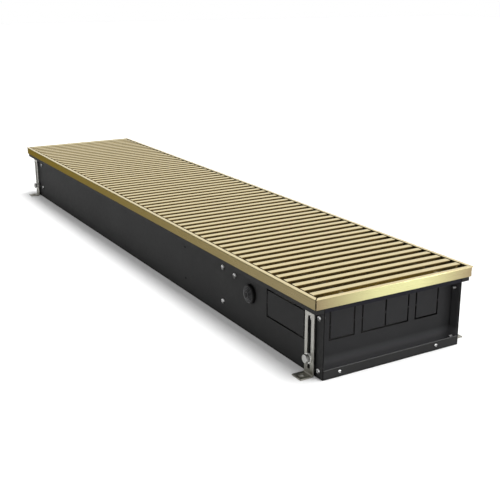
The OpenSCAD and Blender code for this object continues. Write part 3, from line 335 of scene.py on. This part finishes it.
def drawn_metal(name, rgb, along, roughness=0.25, line=0.6, dull=0.85):
    """Drawn or turned metal: bright, with fine lines along the way it was drawn and a light tarnish."""
    made, tree, shader, place = finish(name, Metallic=1.0)
    patch, stretch = 18, 0.02
    run = [stretch if axis == along else 1.0 for axis in range(3)]
    drawn = node(tree, "ShaderNodeMapping", {"Vector": place, "Scale": run}).outputs[0]
    lines = node(tree, "ShaderNodeTexNoise", {"Vector": drawn, "Scale": per(line), "Detail": 3.0}).outputs[0]
    stain = node(tree, "ShaderNodeTexNoise",
                 {"Vector": place, "Scale": per(patch), "Detail": 5.0, "Roughness": 0.6}).outputs[0]
    tint = mottle(tree, stain, shade(rgb, dull), rgb)
    skin(tree, shader, tint, stain, roughness + 0.1, roughness - 0.05, lines, 0.02, 0.3)
    return made


def spangled(name, rgb):
    """Hot-dip galvanised sheet: flat grey crystals about 8 mm across, each with a shine of its own."""
    made, tree, shader, place = finish(name, Metallic=1.0)
    spangle, frost = 8, 1.5
    crystal = node(tree, "ShaderNodeTexVoronoi", {"Vector": place, "Scale": per(spangle)})
    tone = node(tree, "ShaderNodeSeparateColor", {"Color": crystal.outputs["Color"]}).outputs[0]
    feather = node(tree, "ShaderNodeTexNoise",
                   {"Vector": place, "Scale": per(frost), "Detail": 4.0, "Distortion": 1.0}).outputs[0]
    mixed = node(tree, "ShaderNodeMath", {0: tone, 1: feather}, operation="MULTIPLY").outputs[0]
    tint = node(tree, "ShaderNodeMix", {0: mixed, 6: shade(rgb, 0.8), 7: shade(rgb, 1.15)}, data_type="RGBA")
    gloss = node(tree, "ShaderNodeMapRange", {"Value": tone, "To Min": 0.3, "To Max": 0.5})
    bump = node(tree, "ShaderNodeBump", {"Strength": 0.3, "Distance": 0.02 * MM, "Height": mixed})
    wire(tree, shader, {"Base Color": tint.outputs[2], "Roughness": gloss.outputs[0],
                        "Normal": bump.outputs[0]})
    return made


def wound(name, rgb):
    """Lacquered copper winding: close turns of wire under a dark amber varnish."""
    made, tree, shader, place = finish(name, Metallic=0.6, Coat_Weight=0.6, Coat_Roughness=0.15)
    # A wave is 2 pi / 20 of a unit long, so the turns are 5.7 mm apart, coarser than real wire to show
    unit = 18
    turns = node(tree, "ShaderNodeTexWave", {"Vector": place, "Scale": per(unit), "Distortion": 0.6},
                 bands_direction="X").outputs[1]
    tint = node(tree, "ShaderNodeMix", {0: turns, 6: shade(rgb, 0.45), 7: rgb}, data_type="RGBA")
    skin(tree, shader, tint.outputs[2], turns, 0.3, 0.42, turns, 0.3, 0.6)
    return made


def laminate(name, rgb):
    """Glass-epoxy board under solder mask: green gloss over a faint square weave and its tracks."""
    made, tree, shader, place = finish(name, Metallic=0.0, Coat_Weight=0.5, Coat_Roughness=0.2)
    # A brick is half a unit long, so the tracks are 3.6 mm long
    weave, unit = 1.2, 7.2
    tracks = node(tree, "ShaderNodeTexBrick",
                  {"Vector": place, "Scale": per(unit), "Color1": rgb, "Color2": shade(rgb, 1.4),
                   "Mortar": shade(rgb, 0.6), "Mortar Size": 0.03})
    cloud = node(tree, "ShaderNodeTexNoise", {"Vector": place, "Scale": per(weave), "Detail": 2.0}).outputs[0]
    tint = mottle(tree, cloud, tracks.outputs[0], shade(rgb, 0.8), 0.3)
    skin(tree, shader, tint, cloud, 0.35, 0.45, tracks.outputs[1], 0.05, 0.5)
    return made


def paint(material, *names):
    """Gives CAD nodes a material in their own slots."""
    for name in names:
        for held in frame["nodes"][name].material_slots:
            held.material = material


def place_piece(name, shape, material, cad_node, replaced=True):
    """Makes a piece of a bmesh in the place and on the body of a CAD node."""
    mesh = bpy.data.meshes.new(name)
    shape.to_mesh(mesh)
    shape.free()
    piece = bpy.data.objects.new(name, mesh)
    bpy.context.scene.collection.objects.link(piece)
    mesh.materials.append(material)
    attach(piece, BODY_OF[cad_node])
    if replaced:
        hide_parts(cad_node)
    return piece


def shade_smooth(shape, crease):
    """Shades a shape smooth except at edges that turn past a crease, in degrees."""
    for face in shape.faces:
        face.smooth = True
    for edge in shape.edges:
        edge.smooth = edge.is_manifold and edge.calc_face_angle() < radians(crease)


def soften(shape, width, segments=2):
    """Rounds the sharp edges of a closed shape and shades it smooth between the edges that stay."""
    sharp = [e for e in shape.edges if width and e.is_manifold and e.calc_face_angle() > radians(FOLD)]
    bmesh.ops.bevel(shape, geom=sharp, offset=width, offset_type="OFFSET", affect="EDGES", segments=segments,
                    profile=0.5, material=-1, clamp_overlap=False)
    shade_smooth(shape, CREASE if width else FOLD)


def rounded(cad_node, material, width):
    """Copies a CAD node with its edges rounded, and hides the node."""
    source = frame["nodes"][cad_node]
    shape = bmesh.new()
    shape.from_mesh(source.data)
    shape.transform(source.matrix_world)
    bmesh.ops.remove_doubles(shape, verts=shape.verts, dist=MERGE)
    bmesh.ops.dissolve_limit(shape, angle_limit=radians(1), verts=shape.verts, edges=shape.edges)
    soften(shape, width)
    piece = place_piece(cad_node + "_finished", shape, material, cad_node)
    piece.modifiers.new("Even normals", "WEIGHTED_NORMAL").keep_sharp = True


def spun(profile, steps):
    """Turns a closed outline of radius and height, in mm, about Z."""
    shape = bmesh.new()
    corners = [shape.verts.new((r * MM, 0, z * MM)) for r, z in profile]
    edges = [shape.edges.new((a, b)) for a, b in zip(corners, corners[1:] + corners[:1])]
    bmesh.ops.spin(shape, geom=corners + edges, cent=(0, 0, 0), axis=(0, 0, 1), angle=2 * pi, steps=steps,
                   use_merge=True)
    bmesh.ops.remove_doubles(shape, verts=shape.verts, dist=MERGE)
    bmesh.ops.recalc_face_normals(shape, faces=shape.faces)
    return shape


def block(size, middle):
    """Cuboid of a size round its middle, in metres."""
    shape = bmesh.new()
    bmesh.ops.create_cube(shape, size=1, matrix=Matrix.Translation(middle) @ Matrix.Diagonal((*size, 1)))
    return shape


def front_wall_face():
    """Place along Y of the front wall's outer face, in metres."""
    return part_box("trough_floor")[0].y - (SHEET + WALL_GAP) * MM


class HEATER_OT_trough(bpy.types.Operator):
    """Folded floor and side walls with stamped edges under baked enamel"""
    bl_idname = "heater.trough"
    bl_label = "Trough"

    def execute(self, context):
        sheet = context.scene.heater_sheet
        floor = enamel("Baked polyester enamel, cut lip", sheet.enamel, sheet.peel / MM)
        # Painted highlight: a light line along the cut edge on top of the turned-up ends
        lip_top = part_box("trough_floor")[1].z / MM
        lined(floor, 2, lip_top - 0.2, 0.22, linear("#5a5a5a"))
        rounded("trough_floor", floor, sheet.edge)
        wall = enamel("Baked polyester enamel, anthracite", sheet.enamel, sheet.peel / MM)
        # Painted shade: the faces of the cuts through the wall turn near-black
        lined(wall, 1, -front_wall_face() / MM - SHEET / 2, CUT_SHADE_HALF, linear("#030303"))
        for name in ("trough_wall_front", "trough_wall_rear"):
            rounded(name, wall, sheet.edge)
        return {"FINISHED"}


class HEATER_OT_end_plates(bpy.types.Operator):
    """End plates with their flanges and knock-outs"""
    bl_idname = "heater.end_plates"
    bl_label = "End plates"

    def execute(self, context):
        sheet = context.scene.heater_sheet
        plate = enamel("Baked polyester enamel, dark grey", sheet.plate, sheet.peel / MM, 0.55)
        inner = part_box("end_plate_connection")[0].x / MM
        # Painted shade: the faces of the cuts through the plate turn near-black
        lined(plate, 0, inner + SHEET / 2, CUT_SHADE_HALF, linear("#030303"))
        # Painted light: the set-back plate is lighter at its foot, as if lit from the floor; painted shade
        # darkens the strip under the rail
        lit_foot_top, lit_foot_bottom = 26, 8
        shaded_strip_bottom, shaded_strip_full = 92.6, 93.4
        banded(plate, lit_foot_top, lit_foot_bottom, shade(sheet.plate, 4))
        banded(plate, shaded_strip_bottom, shaded_strip_full, linear("#222228"))
        for name in ("end_plate_connection", "end_plate_closed"):
            rounded(name, plate, sheet.edge * 0.8)
        return {"FINISHED"}


class HEATER_OT_frame(bpy.types.Operator):
    """Anodised rails, their corner keys and the rubber strips on their ledges"""
    bl_idname = "heater.frame"
    bl_label = "Frame"

    def execute(self, context):
        grille = context.scene.heater_grille
        line = grille.line / MM
        # Painted shade on the long skirts; painted highlight at the middle of the end skirts
        sides = anodised("Brass-anodised aluminium, rail along X", grille.rim, 0, line, grille.skirt, 0.3,
                         edge=linear("#a59a80"))
        ends = anodised("Brass-anodised aluminium, rail along Y", grille.rim, 1, line, grille.end, 0.3,
                        tips=grille.dim)
        for rail, names in ((sides, ("front", "rear")), (ends, ("connection", "closed"))):
            for name in names:
                rounded("frame_rail_" + name, rail, grille.edge)
        paint(drawn_metal("Black phosphated steel strip", linear("#141416"), 0, 0.5), "frame_corner_keys")
        paint(moulded("Extruded rubber strip", linear("#1a1a1a"), 1.2), "grille_rest_strips")
        return {"FINISHED"}


class HEATER_OT_grille(bpy.types.Operator):
    """Anodised cross slats, their spacers, link springs and end caps"""
    bl_idname = "heater.grille"
    bl_label = "Grille"

    def execute(self, context):
        grille = context.scene.heater_grille
        # Painted shade on the slats' sides
        slats = anodised("Brass-anodised aluminium, slats", grille.slat, 1, grille.line / MM, grille.side,
                         0.75)
        rounded("grille_slats", slats, 0)
        paint(drawn_metal("Drawn spring steel", linear("#8b8c8e"), 0), "grille_link_springs")
        paint(moulded("Moulded polyamide spacer", linear("#1d1d1d"), 0.8), "grille_spacers")
        paint(plated("Pressed zinc-plated cap", linear("#b9b9b7"), linear("#a8a79c"), 2.0), "grille_end_caps")
        return {"FINISHED"}


class HEATER_OT_exchanger(bpy.types.Operator):
    """Finned water tubes, their bends, fittings, grommets and bleed valve"""
    bl_idname = "heater.exchanger"
    bl_label = "Heat exchanger"

    def execute(self, context):
        # Rolled foil keeps the mill's lines up each fin
        paint(drawn_metal("Rolled aluminium foil", linear("#d3d6d8"), 2, 0.3, 1.5, 0.9), "exchanger_fins")
        paint(drawn_metal("Drawn copper tube", linear("#c07a50"), 0, 0.28, 0.8, 0.6), "exchanger_tubes",
              "exchanger_bends")
        paint(drawn_metal("Turned brass", linear("#d0ae5e"), 1, 0.26, 0.5, 0.75), "exchanger_fittings",
              "bleed_valve_body")
        paint(drawn_metal("Nickel-plated screw", linear("#cfd0ce"), 2, 0.2, 0.4), "bleed_screw")
        paint(moulded("Moulded rubber grommet", linear("#191919"), 0.8), "tube_grommets")
        return {"FINISHED"}


class HEATER_OT_bulkheads(bpy.types.Operator):
    """Galvanised walls across the trough and the fan's scroll"""
    bl_idname = "heater.bulkheads"
    bl_label = "Bulkheads and scroll"

    def execute(self, context):
        paint(spangled("Hot-dip galvanised sheet", linear("#a7aaac")), "bulkhead_connection",
              "bulkhead_closed", "fan_scroll", "fan_tongue", "fan_centre_support")
        return {"FINISHED"}


class HEATER_OT_fan(bpy.types.Operator):
    """Crossflow fan wheels, their shafts, bushes and rubber rings"""
    bl_idname = "heater.fan"
    bl_label = "Fan"

    def execute(self, context):
        paint(drawn_metal("Dark aluminium strip", linear("#505458"), 0, 0.4, 1.0, 0.8),
              "fan_wheel_connection", "fan_wheel_closed")
        paint(drawn_metal("Ground steel bar", linear("#c6c8ca"), 0, 0.18, 0.5), "fan_stub_shafts",
              "motor_shaft")
        paint(plated("Sintered bronze", linear("#a98450"), linear("#6e5330"), 1.5, 0.5), "fan_bearings")
        paint(moulded("Moulded rubber ring", linear("#191919"), 0.8), "bearing_rubbers")
        return {"FINISHED"}


class HEATER_OT_motor(bpy.types.Operator):
    """Motor on its round plate, with its winding and rotor"""
    bl_idname = "heater.motor"
    bl_label = "Motor"

    def execute(self, context):
        paint(enamel("Cathodic dip coat, black", linear("#26282a"), 1.5, 0.4), "motor_housing",
              "motor_end_cap")
        paint(plated("Zinc-plated plate", linear("#9ea1a3"), linear("#8d8c80"), 4.0), "motor_mount_plate")
        paint(wound("Lacquered copper winding", linear("#9c5f30")), "motor_stator")
        paint(drawn_metal("Stacked steel sheets", linear("#74777a"), 1, 0.4, 0.5), "motor_rotor")
        return {"FINISHED"}


class HEATER_OT_terminal_box(bpy.types.Operator):
    """Terminal box with its lid, terminal block and control board"""
    bl_idname = "heater.terminal_box"
    bl_label = "Terminal box"

    def execute(self, context):
        paint(moulded("Moulded ABS, black", linear("#232427"), 1.1, 0.45), "terminal_box", "terminal_lid")
        paint(moulded("Moulded polyamide, ivory", linear("#d9d5c8"), 0.9, 0.4, 0.03, 1.05), "terminal_block")
        low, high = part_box("control_board")
        board_thick = 1.6
        top = low.z + board_thick * MM
        ends = list(zip(low, (high.x, high.y, top)))
        board = block([b - a for a, b in ends], [(a + b) / 2 for a, b in ends])
        soften(board, 0.2 * MM)
        place_piece("control_board_sheet", board, laminate("Glass-epoxy laminate", linear("#2c5a38")),
                    "control_board")

        relay_size = (20, 11, 12)
        from_end, from_side = 13, 8.5
        relay = block([s * MM for s in relay_size],
                      (low.x + from_end * MM, high.y - from_side * MM, top + relay_size[2] / 2 * MM))
        soften(relay, 0.6 * MM, segments=3)
        place_piece("control_board_relay", relay,
                    moulded("Moulded relay cover, blue", linear("#2a4c7d"), 1.0, 0.3), "control_board", False)

        # Outline of radius and height: a can with a groove rolled round it near its foot
        can = spun([(0, 0), (5, 0), (5, 1.4), (4.6, 1.8), (4.6, 2.6), (5, 3), (5, 13.4), (4.5, 14), (0, 14)],
                   40)
        for face in can.faces:
            face.smooth = True
        from_corner = 8
        can.transform(Matrix.Translation((high.x - from_corner * MM, high.y - from_corner * MM, top)))
        sleeve = moulded("Shrunk sleeve on aluminium can", linear("#33373d"), 0.8, 0.3)
        place_piece("control_board_capacitor", can, sleeve, "control_board", False)
        return {"FINISHED"}


class HEATER_OT_gland(bpy.types.Operator):
    """Stepped rubber grommet at the cable entry, and the earth bracket behind the wall"""
    bl_idname = "heater.gland"
    bl_label = "Cable entry"

    def execute(self, context):
        low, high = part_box("cable_gland")
        flange = (high.x - low.x) / 2 / MM
        bore, hole, inner_lip, shoulder = 3.5, 10.9, 13, 12.8
        pitch, rise, step_crease = 2.05, 0.8, 62
        # Outline of radius and height over the wall: the lip behind it, the flange and four steps on that
        profile = [(bore, -3.8), (12.4, -3.8), (inner_lip, -3.3), (inner_lip, -1.3), (hole, -1.3),
                   (hole, 0.1), (shoulder, 0.1), (flange, 0.5), (flange, 4.1), (flange - 0.3, 4.7),
                   (flange - 1, 5.0)]
        for step in range(4):
            r, z = flange - 1.3 - pitch * step, 5 + rise * step
            profile += [(r - 0.5, z - 0.25), (r - 0.35, z + 0.35), (r - 0.7, z + 0.75), (r - 1.3, z + rise)]
        profile += [(4.2, 8.1), (3.7, 7.9), (bore, 7.4)]
        shape = spun(profile, 72)
        shade_smooth(shape, step_crease)
        middle = (low + high) / 2
        shape.transform(Matrix.Translation((middle.x, front_wall_face(), middle.z))
                        @ Matrix.Rotation(radians(90), 4, "X"))
        # Middle of the outermost ring's top, under its painted highlight
        first_ring = flange - 2.3
        rubber = ringed("Moulded rubber, black", linear("#0b0b0b"), linear("#4c4c4d"), linear("#2c2c2c"),
                        middle, first_ring, pitch)
        place_piece("cable_grommet", shape, rubber, "cable_gland")
        paint(plated("Zinc-plated bracket", linear("#b4b4b0"), linear("#a6a390"), 4.0), "earth_bracket")
        return {"FINISHED"}


class HEATER_OT_feet(bpy.types.Operator):
    """Folded feet with rounded edges under zinc plating"""
    bl_idname = "heater.feet"
    bl_label = "Feet"

    def execute(self, context):
        foot = context.scene.heater_foot
        zinc = plated("Zinc-plated pressed steel", foot.zinc, None, 5.0, 0.4)
        # The zinc goes to a darker, warmer grey from 26 mm down to the sole
        fade_top = 26
        banded(zinc, fade_top, 0, foot.warm)
        for end in ("front_connection", "front_closed", "rear_connection", "rear_closed"):
            rounded("leg_" + end, zinc, foot.edge)
        return {"FINISHED"}


def toothed_ring(bore, outer, thick, teeth, tooth):
    """Mesh of a flat ring with square teeth round it, its sizes in mm and the tooth's depth in metres."""
    shape = spun([(bore, 0), (outer, 0), (outer, thick), (bore, thick)], 2 * teeth)
    rim = sorted((v for v in shape.verts if v.co.xy.length > 0.9 * outer * MM),
                 key=lambda v: v.co.xy.angle_signed(Vector((1, 0))))
    for i, corner in enumerate(rim):
        if i // 2 % 2:
            corner.co.xy *= 1 - tooth / (outer * MM)
    mesh = bpy.data.meshes.new("washer_stamp")
    shape.to_mesh(mesh)
    shape.free()
    return mesh


class HEATER_OT_clamps(bpy.types.Operator):
    """Disc-headed clamp screws, split and toothed washers and rivet nuts"""
    bl_idname = "heater.clamps"
    bl_label = "Clamps"

    def execute(self, context):
        foot = context.scene.heater_foot
        zinc = plated("Blue-passivated zinc, hardware", linear("#f2f2f0"), linear("#dcdbd2"), 2.0, 0.3, 0.6)
        head = plated("Blue-passivated zinc, clamp screws", linear("#b4b4b2"), linear("#a09f9a"), 2.0, 0.4)
        rounded("leg_clamp_screws", head, 0.35 * MM)
        paint(zinc, "leg_rivet_nuts")
        paint(plated("Oiled spring steel", linear("#2b2b2b"), linear("#232320"), 2.0, 0.4),
              "leg_split_washers")
        low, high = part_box("leg_clamp_washers")
        bore, outer, thick = 2.65, 7, 1.8
        stamp = toothed_ring(bore, outer, thick, foot.teeth, foot.tooth)
        washers = bmesh.new()
        for turn_x in (1, -1):
            for turn_y in (1, -1):
                at = Matrix.Translation((turn_x * (high.x - outer * MM), turn_y * (high.y - thick * MM),
                                         (low.z + high.z) / 2))
                before = len(washers.verts)
                washers.from_mesh(stamp)
                washers.verts.ensure_lookup_table()
                bmesh.ops.transform(washers, matrix=at @ Matrix.Rotation(radians(-90 * turn_y), 4, "X"),
                                    verts=washers.verts[before:])
        bpy.data.meshes.remove(stamp)
        place_piece("leg_toothed_washers", washers, zinc, "leg_clamp_washers")
        return {"FINISHED"}


class HEATER_OT_screws(bpy.types.Operator):
    """Pan screws and nuts of the sheet metal"""
    bl_idname = "heater.screws"
    bl_label = "Screws"

    def execute(self, context):
        head_edge = 0.3 * MM
        flake = plated("Zinc-flake coat, screws", linear("#4e4e4d"), linear("#464643"), 1.5, 0.2, 0.4)
        # Painted highlight: their upper flanks turn white
        overlay(flake, facing_share(flake.node_tree, 2, 0.04, 0.24), linear("#ffffff"))
        for name in ("end_plate_screws", "end_lip_screws", "bulkhead_screws"):
            rounded(name, flake, head_edge)
        # Painted light: a near-white coat makes the screws and nuts that sit in shade show bright
        bright = plated("Zinc-flake coat, hidden screws", linear("#e8e8e6"), linear("#d4d4d0"), 1.5, 0.3, 0.3)
        rounded("leg_guide_screws", bright, head_edge)
        paint(bright, "end_lip_nuts", "motor_screws")
        paint(flake, "earth_screw")
        return {"FINISHED"}


def paper_floor(rgb):
    """Matt white paper under the object, a little brighter to the camera than its light makes it."""
    half_side, glow = 12, 0.05
    shape = bmesh.new()
    bmesh.ops.create_grid(shape, x_segments=1, y_segments=1, size=half_side)
    mesh = bpy.data.meshes.new("floor")
    shape.to_mesh(mesh)
    shape.free()
    floor = bpy.data.objects.new("floor", mesh)
    bpy.context.scene.collection.objects.link(floor)
    made, tree, shader = finish("Matt white paper floor", Base_Color=rgb, Roughness=0.9, Metallic=0.0,
                                Specular_IOR_Level=0.1, Emission_Color=(1, 1, 1, 1))[:3]
    seen = node(tree, "ShaderNodeLightPath").outputs["Is Camera Ray"]
    lit = node(tree, "ShaderNodeMath", {0: seen, 1: glow}, operation="MULTIPLY").outputs[0]
    wire(tree, shader, {"Emission Strength": lit})
    mesh.materials.append(made)


def studio(sky, ceiling):
    """White surroundings: soft light from all round, and the backdrop that metal mirrors."""
    world = bpy.data.worlds.new("Studio")
    bpy.context.scene.world = world
    world.use_nodes = True
    tree = world.node_tree
    tree.nodes.clear()
    ray = node(tree, "ShaderNodeLightPath").outputs
    towards = node(tree, "ShaderNodeTexCoord").outputs["Generated"]
    parts = node(tree, "ShaderNodeSeparateXYZ", {"Vector": towards}).outputs
    # The backdrop is brighter above than near the floor, and dim low down on the cable entry's side
    rise = node(tree, "ShaderNodeMapRange", {"Value": parts[2], "From Min": 0.12, "From Max": 0.36,
                                             "To Min": 0.87, "To Max": 0.96}).outputs[0]
    behind = node(tree, "ShaderNodeMapRange", {"Value": parts[1], "From Min": -0.35, "From Max": 0.1,
                                               "To Min": 0.06, "To Max": 1.0}).outputs[0]
    above = node(tree, "ShaderNodeMapRange", {"Value": parts[2], "From Min": 0.4, "From Max": 0.6}).outputs[0]
    open_side = node(tree, "ShaderNodeMath", {0: behind, 1: above}, operation="MAXIMUM").outputs[0]
    wall = node(tree, "ShaderNodeMath", {0: rise, 1: open_side}, operation="MULTIPLY").outputs[0]
    overhead = node(tree, "ShaderNodeMapRange", {"Value": parts[2], "From Min": 0.62, "From Max": 0.8,
                                                 "To Max": ceiling}).outputs[0]
    backdrop = node(tree, "ShaderNodeMath", {0: wall, 1: overhead}, operation="ADD").outputs[0]
    mirrored = node(tree, "ShaderNodeMix", {0: ray["Is Glossy Ray"], 2: sky, 3: backdrop}).outputs[0]
    direct = node(tree, "ShaderNodeMath", {0: ray["Is Camera Ray"], 1: ray["Is Transmission Ray"]},
                  operation="MAXIMUM").outputs[0]
    white = node(tree, "ShaderNodeMix", {0: direct, 2: mirrored, 3: 1.0}).outputs[0]
    light = node(tree, "ShaderNodeBackground", {"Color": (1, 1, 1, 1), "Strength": white}).outputs[0]
    node(tree, "ShaderNodeOutputWorld", {"Surface": light})


def stand_at(holder, at, aim):
    """Puts a lamp at a place and turns it to shine at another."""
    bpy.context.scene.collection.objects.link(holder)
    holder.location = at
    holder.rotation_euler = (Vector(aim) - Vector(at)).to_track_quat("-Z", "Y").to_euler()


def lamps(key, side):
    """A wide sun from above that throws the soft shadow, and a small lamp past the connection end."""
    sun = bpy.data.lights.new("key", "SUN")
    sun.energy = key
    sun.angle = radians(27)
    holder = bpy.data.objects.new("key", sun)
    holder.visible_glossy = False
    stand_at(holder, at=(0.27, 0.36, 2.2), aim=(0.0, 0.0, 0.0))
    panel = bpy.data.lights.new("side", "AREA")
    panel.energy = side
    panel.shape, panel.size, panel.size_y = "RECTANGLE", 0.1, 0.24
    stand_at(bpy.data.objects.new("side", panel), at=(2.1, 1.34, 0.14), aim=(0.6, 0.0, 0.1))


def photo_camera():
    """Camera that the photograph's vanishing lines and the corners of the frame gave."""
    dip, turn = 17.096, 59.524
    camera = bpy.data.objects.new("camera", bpy.data.cameras.new("camera"))
    bpy.context.scene.collection.objects.link(camera)
    camera.data.lens = 60.16
    camera.data.clip_end = 50
    camera.location = (1.40781, -0.69074, 0.47579)
    camera.rotation_euler = (radians(90 - dip), 0, radians(turn))
    bpy.context.scene.camera = camera


class HEATER_OT_stage(bpy.types.Operator):
    """Pale floor, soft lamps, bright surroundings and the camera"""
    bl_idname = "heater.stage"
    bl_label = "Stage"

    def execute(self, context):
        stage = context.scene.heater_stage
        paper_floor(stage.floor)
        studio(stage.sky, stage.ceiling)
        lamps(stage.key, stage.side)
        photo_camera()
        context.scene.view_settings.view_transform = "Standard"
        return {"FINISHED"}


OPERATORS = (
    HEATER_OT_trough, HEATER_OT_end_plates, HEATER_OT_frame, HEATER_OT_grille, HEATER_OT_exchanger,
    HEATER_OT_bulkheads, HEATER_OT_fan, HEATER_OT_motor, HEATER_OT_terminal_box, HEATER_OT_gland,
    HEATER_OT_feet, HEATER_OT_clamps, HEATER_OT_screws, HEATER_OT_stage,
)
SETTINGS = {"heater_sheet": SheetSettings, "heater_grille": GrilleSettings, "heater_foot": FootSettings,
            "heater_stage": StageSettings}


class HEATER_PT_panel(bpy.types.Panel):
    """Lists the settings and the pieces of the heater"""
    bl_label = "Trench convector heater"
    bl_idname = "HEATER_PT_panel"
    bl_space_type = "VIEW_3D"
    bl_region_type = "UI"
    bl_category = "Heater"

    def draw(self, context):
        for kind in SETTINGS:
            settings = getattr(context.scene, kind)
            for name in settings.bl_rna.properties.keys():
                if name not in ("rna_type", "name"):
                    self.layout.prop(settings, name)
        for operator in OPERATORS:
            self.layout.operator(operator.bl_idname)


CLASSES = (*SETTINGS.values(), *OPERATORS, HEATER_PT_panel)


def register():
    for kind in CLASSES:
        bpy.utils.register_class(kind)
    for name, kind in SETTINGS.items():
        setattr(bpy.types.Scene, name, PointerProperty(type=kind))


def unregister():
    for name in SETTINGS:
        delattr(bpy.types.Scene, name)
    for kind in reversed(CLASSES):
        bpy.utils.unregister_class(kind)


def main():
    register()
    for operator in OPERATORS:
        group, name = operator.bl_idname.split(".")
        getattr(getattr(bpy.ops, group), name)()


if __name__ == "__main__":
    main()
